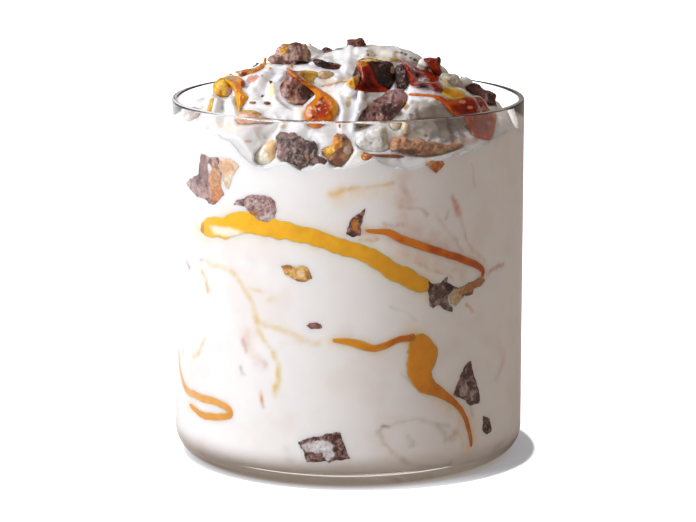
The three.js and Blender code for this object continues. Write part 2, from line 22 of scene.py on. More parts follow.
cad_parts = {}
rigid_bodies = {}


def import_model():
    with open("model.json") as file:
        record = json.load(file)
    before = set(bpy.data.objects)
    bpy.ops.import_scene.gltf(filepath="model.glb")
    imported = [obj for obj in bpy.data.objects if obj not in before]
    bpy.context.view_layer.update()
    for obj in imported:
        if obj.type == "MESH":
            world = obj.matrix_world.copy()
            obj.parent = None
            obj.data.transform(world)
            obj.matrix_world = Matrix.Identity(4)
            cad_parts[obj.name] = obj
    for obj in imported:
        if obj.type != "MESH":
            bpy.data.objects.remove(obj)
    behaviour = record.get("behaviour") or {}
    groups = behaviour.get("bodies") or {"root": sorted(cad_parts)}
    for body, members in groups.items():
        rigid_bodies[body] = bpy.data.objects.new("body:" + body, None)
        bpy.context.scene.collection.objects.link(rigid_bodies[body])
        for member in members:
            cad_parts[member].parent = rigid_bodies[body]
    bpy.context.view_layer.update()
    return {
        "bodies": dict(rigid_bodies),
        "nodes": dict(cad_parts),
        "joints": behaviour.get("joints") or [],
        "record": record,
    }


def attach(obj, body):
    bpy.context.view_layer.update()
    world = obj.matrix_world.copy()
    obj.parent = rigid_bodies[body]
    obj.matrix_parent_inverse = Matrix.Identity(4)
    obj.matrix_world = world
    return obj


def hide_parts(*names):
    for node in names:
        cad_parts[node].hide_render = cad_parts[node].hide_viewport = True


LOG = logging.getLogger("dessert")

METRES = 0.001  # of one millimetre
BODY = "root"
FRAME: dict = {}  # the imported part, once it is loaded

Tree = bpy.types.NodeTree
Socket = bpy.types.NodeSocket
Material = bpy.types.Material


# ------------------------------------------------------------------ colours and nodes


def linear(colour: str) -> np.ndarray:
    """Turn an sRGB hex colour into linear red, green and blue.

    Args:
        colour: The colour, such as "#F4EFE8".

    Returns:
        Three numbers from 0 to 1.
    """
    values = np.array([int(colour[i : i + 2], 16) for i in (1, 3, 5)]) / 255
    return np.where(values <= 0.04045, values / 12.92, ((values + 0.055) / 1.055) ** 2.4)


def add_node(tree: Tree, kind: str, inputs: dict | None = None, **settings: object) -> bpy.types.Node:
    """Add a node with its settings, input values and links.

    Args:
        tree: The tree that the node goes in.
        kind: Blender's name for the kind of node.
        inputs: Sockets by name or number, each with a value, an sRGB hex colour or a socket to link.
        **settings: The node's own properties.

    Returns:
        The new node.
    """
    node = tree.nodes.new(kind)
    for key, value in settings.items():
        setattr(node, key, value)
    for key, value in (inputs or {}).items():
        socket = node.inputs[key]
        if isinstance(value, bpy.types.NodeSocket):
            tree.links.new(value, socket)
        elif isinstance(value, str) and value.startswith("#"):
            socket.default_value = (*linear(value), 1.0)
        else:
            socket.default_value = value
    return node


def blank_material(name: str) -> tuple[Material, Tree]:
    """Make a material with an empty node tree.

    Args:
        name: What the real material is.

    Returns:
        The material and its tree.
    """
    material = bpy.data.materials.new(name)
    material.use_nodes = True
    material.node_tree.nodes.clear()
    return material, material.node_tree


def combine(tree: Tree, operation: str, first: object, second: object) -> Socket:
    """Add one step of arithmetic to a node tree."""
    return add_node(tree, "ShaderNodeMath", {0: first, 1: second}, operation=operation).outputs[0]


def ramp(tree: Tree, value: Socket, low: float, high: float, start: float = 0.0, stop: float = 1.0) -> Socket:
    """Turn a value between low and high into one between start and stop."""
    inputs = {"Value": value, "From Min": low, "From Max": high, "To Min": start, "To Max": stop}
    return add_node(tree, "ShaderNodeMapRange", inputs).outputs["Result"]


def mixed(tree: Tree, share: Socket, first: Socket, second: Socket) -> Socket:
    """Mix two shaders by the share of the second."""
    return add_node(tree, "ShaderNodeMixShader", {0: share, 1: first, 2: second}).outputs[0]


def blend(tree: Tree, share: Socket, first: object, second: object) -> Socket:
    """Mix two colours by the share of the second."""
    inputs = {0: share, 6: first, 7: second}
    return add_node(tree, "ShaderNodeMix", inputs, data_type="RGBA").outputs[2]


def speckle(tree: Tree, place: Socket, size: float, detail: float, roughness: float = 0.5) -> Socket:
    """Add soft random spots, whose size is given in mm."""
    inputs = {"Vector": place, "Scale": 1 / (size * METRES), "Detail": detail, "Roughness": roughness}
    return add_node(tree, "ShaderNodeTexNoise", inputs).outputs["Fac"]


def bumps(tree: Tree, height: Socket, depth: float, strength: float = 1.0) -> Socket:
    """Turn spots into bumps, whose depth is given in mm."""
    inputs = {"Height": height, "Distance": depth * METRES, "Strength": strength}
    return add_node(tree, "ShaderNodeBump", inputs).outputs["Normal"]


# ------------------------------------------------------------------ finishes


@dataclass(frozen=True)
class FoodFinish:
    """A food's surface. Its colour is painted on the mesh, and the pattern nodes add the fine grain.

    Attributes:
        name: What the real material is.
        roughness: How matt the dry surface is.
        wet_roughness: How matt it is where the mesh's wet attribute is 1.
        ior: Index of refraction.
        scatter: Share of the light that travels under the surface.
        scatter_depth: How far red, green and blue light travels under the surface, in mm.
        mottle_size: Size of the blotches in the colour, in mm.
        mottle: How much darker the dark blotches are, from 0 to 1.
        grain_size: Size of the fine grain, in mm.
        grain_height: Height of the fine grain, in mm.
        coat: Strength of a clear wet film over everything.
        mirror: How much it mirrors, where 0.5 is as much as its index of refraction gives.
    """

    name: str
    roughness: float
    wet_roughness: float = 0.12
    ior: float = 1.45
    scatter: float = 0.0
    scatter_depth: tuple[float, float, float] = (1.0, 1.0, 1.0)
    mottle_size: float = 1.0
    mottle: float = 0.1
    grain_size: float = 0.4
    grain_height: float = 0.03
    coat: float = 0.0
    mirror: float = 0.5
    coat_roughness: float = 0.04
    blotch_edge: tuple[float, float] = (0.36, 0.6)  # where the spots turn from dark to light

    def material(self) -> Material:
        """Build the material."""
        made, tree = blank_material(self.name)
        place = add_node(tree, "ShaderNodeTexCoord").outputs["Object"]
        paint = add_node(tree, "ShaderNodeAttribute", attribute_name="paint").outputs["Color"]
        wet = add_node(tree, "ShaderNodeAttribute", attribute_name="wet").outputs["Fac"]
        blotch = speckle(tree, place, self.mottle_size, 4.0, 0.6)
        share = ramp(tree, blotch, *self.blotch_edge, 1 - self.mottle)
        colour = add_node(tree, "ShaderNodeVectorMath", {0: paint, "Scale": share}, operation="SCALE")
        grain = speckle(tree, place, self.grain_size, 2.0)
        shader = add_node(
            tree,
            "ShaderNodeBsdfPrincipled",
            {
                "Base Color": colour.outputs[0],
                "Roughness": ramp(tree, wet, 0, 1, self.roughness, self.wet_roughness),
                "IOR": self.ior,
                "Specular IOR Level": self.mirror,
                "Normal": bumps(tree, grain, self.grain_height),
                "Subsurface Weight": self.scatter,
                "Subsurface Scale": METRES,
                "Subsurface Radius": self.scatter_depth,
                "Coat Weight": self.coat,
                "Coat Roughness": self.coat_roughness,
            },
        )
        add_node(tree, "ShaderNodeOutputMaterial", {"Surface": shader.outputs["BSDF"]})
        return made


# Aerated dairy foam: nearly white, light travels a few millimetres in it, so its folds stay soft.
SOFT_ICE_CREAM = FoodFinish(
    "vanilla_ice_cream", roughness=0.42, wet_roughness=0.2, ior=1.36, scatter=0.85,
    scatter_depth=(2.3, 2.0, 1.8), mottle_size=5.0, mottle=0.025, grain_size=0.7, grain_height=0.025,
)
# Boiled sugar with butter, poured: a glossy skin over a deep body, amber where thin and red where thick.
CARAMEL = FoodFinish(
    "poured_caramel", roughness=0.14, wet_roughness=0.07, ior=1.45, scatter=0.55,
    scatter_depth=(2.2, 0.8, 0.2), mottle_size=2.4, mottle=0.12, grain_size=1.6, grain_height=0.05, coat=0.04,
    mirror=0.3,
)
# The same caramel blended in: it lies flat against the glass, so only its colour shows.
RIBBON_CARAMEL = FoodFinish(
    "blended_caramel", roughness=0.3, ior=1.12, scatter=0.5,
    scatter_depth=(1.6, 0.8, 0.3), mottle_size=3.0, mottle=0.08, grain_size=0.9, grain_height=0.01,
)
# Milk chocolate, chilled and broken: waxy, with frost on it and a crumbly edge.
CHOCOLATE = FoodFinish(
    "broken_milk_chocolate", roughness=0.46, wet_roughness=0.08, ior=1.46, scatter=0.12,
    scatter_depth=(0.8, 0.4, 0.3), mottle_size=0.9, mottle=0.42, grain_size=0.6, grain_height=0.3,
)
# Roasted peanut and nougat: oily and fine grained, a little light goes through.
NUT = FoodFinish(
    "roasted_peanut_and_nougat", roughness=0.4, wet_roughness=0.1, ior=1.46, scatter=0.4,
    scatter_depth=(1.4, 0.9, 0.5), mottle_size=0.9, mottle=0.28, grain_size=0.45, grain_height=0.1,
)


# The same foods pressed against the glass, where no air lies between them and so hardly anything mirrors.
PRESSED_ICE_CREAM = replace(SOFT_ICE_CREAM, name="vanilla_ice_cream_on_glass", ior=1.12)
PRESSED_CHOCOLATE = replace(CHOCOLATE, name="milk_chocolate_on_glass", ior=1.12)
PRESSED_NUT = replace(NUT, name="peanut_and_nougat_on_glass", ior=1.12)


@dataclass(frozen=True)
class ClearGlass:
    """Pressed soda glass: colourless in the thin wall, a little brown where the base is thick."""

    name: str = "clear_soda_glass"
    ior: float = 1.5
    tint: str = "#F1EDE8"
    density: float = 14.0
    clear: str = "#F6F6F5"  # what the thin wall lets through
    wave: float = 14.0  # pressed glass waves slowly; the length of a wave, in mm
    wave_height: float = 0.02  # in mm

    def material(self) -> Material:
        """Build the material."""
        made, tree = blank_material(self.name)
        place = add_node(tree, "ShaderNodeTexCoord").outputs["Object"]
        shader = add_node(
            tree,
            "ShaderNodeBsdfPrincipled",
            {
                "Base Color": "#FFFFFF",
                "Roughness": 0.0,
                "IOR": self.ior,
                "Transmission Weight": 1.0,
                "Normal": bumps(tree, speckle(tree, place, self.wave, 1.0), self.wave_height, 0.3),
            },
        )
        # Lamps and soft light reach the food straight through the wall, as they do in the thin real one.
        path = add_node(tree, "ShaderNodeLightPath").outputs
        soft = combine(tree, "MAXIMUM", path["Is Shadow Ray"], path["Is Diffuse Ray"])
        open_way = add_node(tree, "ShaderNodeBsdfTransparent", {"Color": self.clear}).outputs[0]
        surface = mixed(tree, soft, shader.outputs["BSDF"], open_way)
        body = add_node(tree, "ShaderNodeVolumeAbsorption", {"Color": self.tint, "Density": self.density})
        add_node(tree, "ShaderNodeOutputMaterial", {"Surface": surface, "Volume": body.outputs["Volume"]})
        return made


@dataclass(frozen=True)
class StudioPaper:
    """The pale paper under the glass. What it throws back on the food is as warm and dim as a tabletop."""

    name: str = "studio_paper"
    colour: str = "#FFFFFF"
    bounce: str = "#857B74"
    # painted light: a glowing patch under the foot, standing in for the light that comes through the food
    under: str = "#94877C"  # under the foot, where light only comes through the food
    lift: str = "#9CA6B4"  # what keeps its shadow pale
    lift_strength: float = 0.36
    foot: tuple[float, float] = (38.5, 42.5)  # where the paper under the foot ends, in mm
    dim_front: tuple[float, float] = (250.0, -50.0)  # from where to where its mirror image turns dim
    dim_right: tuple[float, float] = (-50.0, 50.0)

    def material(self) -> Material:
        """Build the material."""
        made, tree = blank_material(self.name)
        path = add_node(tree, "ShaderNodeLightPath").outputs
        place = add_node(tree, "ShaderNodeTexCoord").outputs["Object"]
        there = add_node(tree, "ShaderNodeSeparateXYZ", {"Vector": place}).outputs
        front = ramp(tree, there["Y"], *(METRES * y for y in self.dim_front))
        right = ramp(tree, there["X"], *(METRES * x for x in self.dim_right))
        mirrored = combine(tree, "GREATER_THAN", path["Glossy Depth"], 0.5)
        dim = combine(tree, "MULTIPLY", mirrored, combine(tree, "MAXIMUM", front, right))
        depth = combine(tree, "MAXIMUM", path["Diffuse Depth"], dim)
        reach = add_node(tree, "ShaderNodeVectorMath", {0: place}, operation="LENGTH").outputs["Value"]
        beside = ramp(tree, reach, *(METRES * edge for edge in self.foot))
        white = add_node(tree, "ShaderNodeBsdfDiffuse", {"Color": self.colour}).outputs[0]
        lift = add_node(tree, "ShaderNodeEmission", {"Color": self.lift, "Strength": self.lift_strength})
        lifted = add_node(tree, "ShaderNodeAddShader", {0: white, 1: lift.outputs[0]}).outputs[0]
        # painted light: the paper under the foot glows
        under = add_node(tree, "ShaderNodeEmission", {"Color": self.under, "Strength": 1.0}).outputs[0]
        thrown = add_node(tree, "ShaderNodeBsdfDiffuse", {"Color": self.bounce}).outputs[0]
        lit = mixed(tree, beside, under, mixed(tree, depth, lifted, thrown))
        add_node(tree, "ShaderNodeOutputMaterial", {"Surface": lit})
        return made


# ------------------------------------------------------------------ sizes that several pieces share


@dataclass(frozen=True)
class Vessel:
    """The tumbler's sizes, in mm."""

    radius: float = 44.0
    height: float = 90.0
    wall: float = 1.4
    floor: float = 4.0
    heel: float = 6.5
    bite: float = 0.06  # how far the filling reaches into the glass, so that no air shows

    @property
    def inner(self) -> float:
        """Radius of the inside."""
        return self.radius - self.wall

    @property
    def fill(self) -> float:
        """Radius of what fills the glass."""
        return self.inner + self.bite

    @property
    def fill_floor(self) -> float:
        """Height of the underside of what fills the glass."""
        return self.floor - self.bite

    @property
    def fill_heel(self) -> float:
        """Radius of the filling's lower edge."""
        return self.heel - self.wall + self.bite

    def fill_radius(self, height: np.ndarray) -> np.ndarray:
        """How far the filling reaches from the axis.

        Args:
            height: Heights above the foot.

        Returns:
            Radii, less where the glass's heel curves in.
        """
        below = np.clip(self.fill_floor + self.fill_heel - height, 0, self.fill_heel)
        return self.fill - self.fill_heel + np.sqrt(self.fill_heel**2 - below**2)

    def on_wall(self, azimuth: np.ndarray, height: np.ndarray, sunk: np.ndarray | float = 0.0) -> np.ndarray:
        """Places on the inside of the glass.

        Args:
            azimuth: Azimuths in degrees.
            height: Heights above the foot.
            sunk: How far behind the filling's surface each place lies.

        Returns:
            An array of x, y and z.
        """
        angle = np.radians(azimuth)
        reach = self.fill_radius(np.asarray(height, float)) - sunk
        return np.stack([reach * np.sin(angle), -reach * np.cos(angle), height + 0 * angle], -1)


@dataclass(frozen=True)
class View:
    """The photograph's viewing angle. Its pixels place the pieces that show from the front.

    Attributes:
        distance: How far the eye is in front of the axis, in mm.
        eye_height: How far it is above the foot.
        pitch: How far it looks down, in degrees.
        focal: Its focal length, in pixels.
        middle: The pixel that it looks at.
        width: The picture's width, in pixels.
    """

    distance: float = 706.7
    eye_height: float = 189.6
    pitch: float = 11.342
    focal: float = 2853.0
    middle: tuple[float, float] = (348.0, 261.0)
    width: float = 696.0

    @property
    def eye(self) -> np.ndarray:
        """Where the eye is."""
        return np.array([0, -self.distance, self.eye_height])

    @property
    def axes(self) -> np.ndarray:
        """The directions to the right, up and ahead, one a row."""
        down = math.radians(self.pitch)
        sine, cosine = math.sin(down), math.cos(down)
        return np.array([[1, 0, 0], [0, sine, cosine], [0, cosine, -sine]])

    def seen(self, points: np.ndarray) -> np.ndarray:
        """Pixels where places show.

        Args:
            points: Places, one a row.

        Returns:
            Pixels, one a row.
        """
        across, up, ahead = self.axes @ (points - self.eye).T
        return np.stack(
            [self.middle[0] + self.focal * across / ahead, self.middle[1] - self.focal * up / ahead], -1
        )

    def way(self, pixels: np.ndarray) -> np.ndarray:
        """Directions from the eye through pixels, each one unit long.

        Args:
            pixels: Pixels, one a row.

        Returns:
            Directions, one a row.
        """
        right, up, ahead = self.axes
        off = (pixels - self.middle) / self.focal
        ways = off[:, :1] * right - off[:, 1:] * up + ahead
        return ways / np.linalg.norm(ways, axis=1)[:, None]

    def at_depth(self, pixels: np.ndarray, y: np.ndarray | float) -> np.ndarray:
        """Places that show at pixels and lie at given places towards the back."""
        ways = self.way(pixels)
        return self.eye + ways * ((y + self.distance) / ways[:, 1])[:, None]


def outline_distance(outline: np.ndarray, at: np.ndarray) -> tuple[np.ndarray, np.ndarray]:
    """How far places lie inside a closed outline.

    Args:
        outline: The outline's corners.
        at: The places.

    Returns:
        The distances, which are less than 0 outside, and the nearest places on the outline.
    """
    best = np.full(len(at), np.inf)
    nearest = np.zeros_like(at)
    inside = np.zeros(len(at), dtype=bool)
    for a, b in zip(outline, np.roll(outline, -1, axis=0)):
        way = b - a
        t = np.clip((at - a) @ way / max(way @ way, 1e-12), 0, 1)
        foot = a + t[:, None] * way
        off = np.hypot(*(at - foot).T)
        closer = off < best
        best = np.where(closer, off, best)
        nearest[closer] = foot[closer]
        spans = (a[1] > at[:, 1]) != (b[1] > at[:, 1])
        if way[1]:
            inside ^= spans & (at[:, 0] < a[0] + (at[:, 1] - a[1]) * way[0] / way[1])
    return np.where(inside, best, -best), nearest


def curve(p0: np.ndarray, p1: np.ndarray, p2: np.ndarray, p3: np.ndarray, t: np.ndarray) -> np.ndarray:
    """A smooth curve from p1 to p2, led by the points before and after them."""
    square = 2 * p0 - 5 * p1 + 4 * p2 - p3
    cube = 3 * p1 - p0 - 3 * p2 + p3
    return 0.5 * (2 * p1 + (p2 - p0) * t + square * t**2 + cube * t**3)


def rounded(outline: tuple) -> np.ndarray:
    """A closed smooth line through an outline's corners."""
    corners = np.array(outline, float)
    turned = [np.roll(corners, by, 0)[:, None] for by in (1, 0, -1, -2)]
    return curve(*turned, np.linspace(0, 1, 8, endpoint=False)[None, :, None]).reshape(-1, 2)


def azimuth_of(x: np.ndarray, y: np.ndarray) -> np.ndarray:
    """Azimuths of places, in degrees from the front towards +X."""
    return np.degrees(np.arctan2(x, -y))


def neighbours(grid: np.ndarray) -> np.ndarray:
    """The four neighbours of each place in a grid, whose rim counts as going on."""
    padded = np.pad(grid, 1, mode="edge")
    return np.stack([padded[:-2, 1:-1], padded[2:, 1:-1], padded[1:-1, :-2], padded[1:-1, 2:]])


def line_distance(line: np.ndarray, at: np.ndarray, within: float) -> np.ndarray:
    """How far places lie from a line.

    Args:
        line: The line's corners.
        at: The places.
        within: The distance past which it doesn't matter.

    Returns:
        The distances, endless past the given one.
    """
    best = np.full(len(at), np.inf)
    near = np.flatnonzero(np.all((at > line.min(0) - within) & (at < line.max(0) + within), axis=1))
    some, found = at[near], best[near]
    for a, b in zip(line[:-1], line[1:]):
        way = b - a
        t = np.clip((some - a) @ way / max(way @ way, 1e-9), 0, 1)
        found = np.minimum(found, np.hypot(*(some - a - t[:, None] * way).T))
    best[near] = found
    return best


def lie(node: str) -> tuple[np.ndarray, float]:
    """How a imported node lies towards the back.

    Args:
        node: The node.

    Returns:
        The factors of pixel column, pixel row and 1 that give its middle's depth, and how deep it is.
    """
    points = Form.from_node(node).points
    table = np.column_stack([VIEW.seen(points), np.ones(len(points))])
    plane = np.linalg.lstsq(table, points[:, 1], rcond=None)[0]
    off = points[:, 1] - table @ plane
    plane[2] += 0.5 * (off.max() + off.min())
    return plane, float(off.max() - off.min())


VIEW = View()
VESSEL = Vessel()
MM_PER_DEGREE = math.radians(1) * VESSEL.inner  # along the wall


@dataclass(frozen=True)
class Heap:
    """A soft heap on the mound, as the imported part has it.

    Attributes:
        x: Where its middle lies.
        y: Where its middle lies.
        along: Half its length.
        across: Half its width.
        turn: Angle of its long way from +X, in degrees.
        rise: How far it stands above the plain mound.
    """

    x: float
    y: float
    along: float
    across: float
    turn: float
    rise: float


@dataclass(frozen=True)
class MoundShape:
    """The mound's height over the whole glass."""

    crown: float = 100.0
    fullness: float = 2.3
    edge: float = 42.3
    contact: tuple[tuple[float, float], ...] = (
        (-180, 78.5), (-150, 79.5), (-120, 82), (-90, 83), (-57, 83.6), (-42, 83.8), (-29, 77.9),
        (-19, 79.6), (-15.5, 78), (-9, 79.4), (-1, 78.8), (8.5, 80.6), (15, 78.5), (23.6, 78.9),
        (31, 80.2), (43, 81.2), (53.5, 82.7), (64, 84.2), (90, 80.5), (120, 82), (150, 79.5), (180, 78.5),
    )
    heaps: tuple[Heap, ...] = (
        Heap(2, 0, 13, 8, 8, 2.6), Heap(-22, -7, 11, 8, 20, 2.4), Heap(-31, 1, 8, 9, 0, 2.2),
        Heap(-29.5, -19, 6, 4.5, 30, 2.2), Heap(-17, -28, 8, 5, -20, 1.4), Heap(-1, -27, 8, 4, 80, 1.6),
        Heap(22, -25, 10, 7.5, 35, 3.4), Heap(35, -6, 7, 9, 80, 2.4), Heap(34, -19, 8, 5, 60, 1.6),
        Heap(-13, 17, 12, 8, 150, 2.4), Heap(15, 16, 12, 8, 40, 2.6), Heap(1, 27, 10, 7, 5, 2),
        Heap(-26, 19, 8, 7, -40, 1.8), Heap(25, 21, 8.5, 7, 45, 1.8),
    )

    def contact_height(self, azimuth: np.ndarray) -> np.ndarray:
        """Height at which the ice cream meets the glass.

        Args:
            azimuth: Azimuths in degrees, from -180 to 180.

        Returns:
            Heights above the foot.
        """
        at, height = np.array(self.contact, float).T
        slope = np.gradient(height, at)
        low = np.clip(np.searchsorted(at, azimuth, side="right") - 1, 0, len(at) - 2)
        span = at[low + 1] - at[low]
        t = (azimuth - at[low]) / span
        return (
            (2 * t**3 - 3 * t**2 + 1) * height[low]
            + (t**3 - 2 * t**2 + t) * span * slope[low]
            + (3 * t**2 - 2 * t**3) * height[low + 1]
            + (t**3 - t**2) * span * slope[low + 1]
        )

    def height(self, x: np.ndarray, y: np.ndarray) -> np.ndarray:
        """Height of the ice cream.

        Args:
            x: Places across.
            y: Places towards the back.

        Returns:
            Heights above the foot.
        """
        share = np.minimum(np.hypot(x, y) / self.edge, 1)
        contact = self.contact_height(azimuth_of(x, y))
        total = contact + (self.crown - contact) * (1 - share**self.fullness)
        for heap in self.heaps:
            angle = math.radians(heap.turn)
            dx, dy = x - heap.x, y - heap.y
            along = (dx * math.cos(angle) + dy * math.sin(angle)) / heap.along
            across = (dy * math.cos(angle) - dx * math.sin(angle)) / heap.across
            total = total + heap.rise * np.clip(1 - along**2 - across**2, 0, 1) ** 2
        return total


MOUND = MoundShape()


# ------------------------------------------------------------------ meshes


def ripple(points: np.ndarray, size: float, seed: int, octaves: int = 3) -> np.ndarray:
    """Smooth random waves in space.

    Args:
        points: Places, one a row.
        size: Length of a wave, in mm.
        seed: Which waves.
        octaves: How many finer waves are added.

    Returns:
        A number for each place, about -1 to 1.
    """
    shift = Vector((seed * 17.31 + 3.7, seed * 5.13 + 11.9, seed * 9.71 + 5.3))
    scaled = (points / size).tolist()
    return np.array([noise.fractal(Vector(p) + shift, 0.7, 2.1, octaves) for p in scaled])


def chips(points: np.ndarray, size: float, seed: int) -> tuple[np.ndarray, np.ndarray]:
    """Random angular grains that fill space.

    Args:
        points: Places, one a row.
        size: Size of a grain, in mm.
        seed: Which grains.

    Returns:
        For each place a number from 0 to 1 that belongs to its grain, and how far it lies from the next
        grain, as a share of the size.
    """
    shift = Vector((seed * 7.13 + 1.1, seed * 3.71 + 8.3, seed * 11.9 + 2.7))
    values, gaps = [], []
    for place in (points / size).tolist():
        distances, middles = noise.voronoi(Vector(place) + shift)
        mixed_up = middles[0].x * 12.9898 + middles[0].y * 78.233 + middles[0].z * 37.719
        values.append(math.sin(mixed_up) * 43758.5453)
        gaps.append(distances[1] - distances[0])
    return np.array(values) % 1.0, np.array(gaps)


def fade(value: np.ndarray, low: float, high: float) -> np.ndarray:
    """A smooth step.

    Args:
        value: Numbers.
        low: Where the step starts, and gives 0.
        high: Where it ends, and gives 1. It may be less than low.

    Returns:
        Numbers from 0 to 1.
    """
    t = np.clip((value - low) / (high - low), 0, 1)
    return t * t * (3 - 2 * t)


def opened(mesh: bpy.types.Mesh) -> bmesh.types.BMesh:
    """A mesh opened for edits."""
    work = bmesh.new()
    work.from_mesh(mesh)
    return work


def written(work: bmesh.types.BMesh, mesh: bpy.types.Mesh | None = None) -> bpy.types.Mesh:
    """Write a mesh's edits back, or into a new mesh."""
    if mesh is None:
        mesh = bpy.data.meshes.new("form")
    work.to_mesh(mesh)
    work.free()
    mesh.update()
    return mesh


def linked(name: str, data: bpy.types.ID) -> bpy.types.Object:
    """A new object, put in the scene."""
    made = bpy.data.objects.new(name, data)
    bpy.context.scene.collection.objects.link(made)
    return made


class Form:
    """A mesh under construction, in millimetres, with the colour and wetness of each point."""

    def __init__(self, mesh: bpy.types.Mesh, colour: str = "#FFFFFF") -> None:
        """Start from a mesh.

        Args:
            mesh: The mesh, which the form then owns.
            colour: The colour that every point starts with.
        """
        self.mesh = mesh
        self.repaint(colour)

    @classmethod
    def of(cls, points: np.ndarray, faces: list, colour: str = "#FFFFFF") -> "Form":
        """Make a form from points and faces.

        Args:
            points: One point a row.
            faces: Lists of point numbers, anticlockwise seen from outside.
            colour: The colour that every point starts with.
        """
        mesh = bpy.data.meshes.new("form")
        mesh.from_pydata(np.asarray(points, float).tolist(), [], faces)
        mesh.update()
        return cls(mesh, colour)

    @classmethod
    def from_node(cls, name: str, colour: str = "#FFFFFF") -> "Form":
        """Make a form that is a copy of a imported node's mesh, with its doubled points merged."""
        work = opened(FRAME["nodes"][name].data)
        bmesh.ops.remove_doubles(work, verts=work.verts, dist=1e-6)
        mesh = written(work)
        mesh.materials.clear()
        mesh.transform(Matrix.Scale(1 / METRES, 4))
        mesh.update()
        return cls(mesh, colour)

    @property
    def points(self) -> np.ndarray:
        """The points, one a row."""
        flat = np.empty(len(self.mesh.vertices) * 3)
        self.mesh.vertices.foreach_get("co", flat)
        return flat.reshape(-1, 3)

    @points.setter
    def points(self, points: np.ndarray) -> None:
        """Move the points."""
        self.mesh.vertices.foreach_set("co", np.ascontiguousarray(points, dtype=float).ravel())
        self.mesh.update()

    @property
    def normals(self) -> np.ndarray:
        """The direction that the surface faces at each point."""
        flat = np.empty(len(self.mesh.vertices) * 3)
        self.mesh.vertices.foreach_get("normal", flat)
        return flat.reshape(-1, 3)

    def repaint(self, colour: str) -> None:
        """Give every point one colour and no wetness."""
        self.paint = np.tile(linear(colour), (len(self.mesh.vertices), 1))
        self.wet = np.zeros(len(self.mesh.vertices))

    def relax(self, times: int, share: float = 0.5) -> "Form":
        """Smooth the form.

        Args:
            times: How often each point moves towards its neighbours' middle.
            share: How far it moves each time.
        """
        flat = np.empty(len(self.mesh.edges) * 2, dtype=np.int32)
        self.mesh.edges.foreach_get("vertices", flat)
        ends = flat.reshape(-1, 2)
        starts, stops = np.concatenate([ends, ends[:, ::-1]]).T
        points = self.points
        count = np.maximum(np.bincount(starts, minlength=len(points)), 1)[:, None]
        for _ in range(times):
            middle = np.stack(
                [np.bincount(starts, weights=points[stops, k], minlength=len(points)) for k in range(3)], -1
            )
            points = points + share * (middle / count - points)
        self.points = points
        return self

    def push(self, amount: np.ndarray) -> "Form":
        """Move each point along the way that the surface faces there."""
        self.points = self.points + self.normals * np.asarray(amount)[:, None]
        return self

    def tint(self, colour: str, weight: np.ndarray) -> "Form":
        """Blend a colour in.

        Args:
            colour: The sRGB hex colour.
            weight: Its share at each point, from 0 to 1.
        """
        share = np.clip(weight, 0, 1)[:, None]
        self.paint = self.paint * (1 - share) + linear(colour) * share
        return self

    def remeshed(self, voxel: float, colour: str = "#FFFFFF") -> "Form":
        """The same shape with an even mesh, its overlapping parts melted into one.

        Args:
            voxel: Length of the new mesh's edges.
            colour: The colour that every point of it starts with.
        """
        holder = linked("holder", self.mesh)
        remesh = holder.modifiers.new("remesh", "REMESH")
        remesh.mode = "VOXEL"
        remesh.voxel_size = voxel
        remesh.adaptivity = 0.0
        graph = bpy.context.evaluated_depsgraph_get()
        mesh = bpy.data.meshes.new_from_object(holder.evaluated_get(graph))
        bpy.data.objects.remove(holder)
        bpy.data.meshes.remove(self.mesh)
        return Form(mesh, colour)

    def joined(self, others: list["Form"]) -> "Form":
        """This form and others as one loose mesh."""
        forms = [self, *others]
        work = bmesh.new()
        for form in forms:
            work.from_mesh(form.mesh)
        made = Form(written(work))
        made.paint = np.vstack([form.paint for form in forms])
        made.wet = np.concatenate([form.wet for form in forms])
        return made

    def shown(
        self, name: str, finish: Material, slot: str, replaces: tuple[str, ...] = ()
    ) -> bpy.types.Object:
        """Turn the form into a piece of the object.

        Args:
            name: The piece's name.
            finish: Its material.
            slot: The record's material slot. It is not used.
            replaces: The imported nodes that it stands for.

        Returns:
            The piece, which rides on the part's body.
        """
        mesh = self.mesh
        mesh.name = name
        mesh.transform(Matrix.Scale(METRES, 4))
        count = len(mesh.vertices)
        paint = mesh.attributes.new("paint", "FLOAT_COLOR", "POINT")
        painted = np.column_stack([self.paint, np.ones(count)]).astype(np.float32)
        paint.data.foreach_set("color", painted.ravel())
        wet = mesh.attributes.new("wet", "FLOAT", "POINT")
        wet.data.foreach_set("value", np.clip(self.wet, 0, 1).astype(np.float32))
        mesh.materials.clear()
        mesh.materials.append(finish)
        mesh.polygons.foreach_set("use_smooth", np.ones(len(mesh.polygons), dtype=bool))
        mesh.update()
        piece = linked(name, mesh)
        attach(piece, BODY)
        if replaces:
            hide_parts(*replaces)
        LOG.info("%s: %d faces", name, len(mesh.polygons))
        return piece


def grid_faces(rows: int, columns: int, closed: bool = False) -> list[tuple[int, int, int, int]]:
    """Faces of a grid whose points are numbered row by row.

    Args:
        rows: Rows of points.
        columns: Points in a row.
        closed: Whether the last column joins the first.

    Returns:
        The faces.
    """
    r = np.arange(rows - 1)[:, None] * columns
    c = np.arange(columns if closed else columns - 1)[None, :]
    d = (c + 1) % columns
    return np.stack([r + c, r + d, r + columns + d, r + columns + c], -1).reshape(-1, 4).tolist()


def capped(faces: list, rows: int, around: int) -> list:
    """Add fans over both ends of a tube. Their two middle points follow the tube's own.

    Args:
        faces: The tube's faces.
        rows: Rings of points.
        around: Points in a ring.

    Returns:
        All the faces.
    """
    count = rows * around
    top = count - around
    for i in range(around):
        j = (i + 1) % around
        faces += [(count, j, i), (count + 1, top + i, top + j)]
    return faces


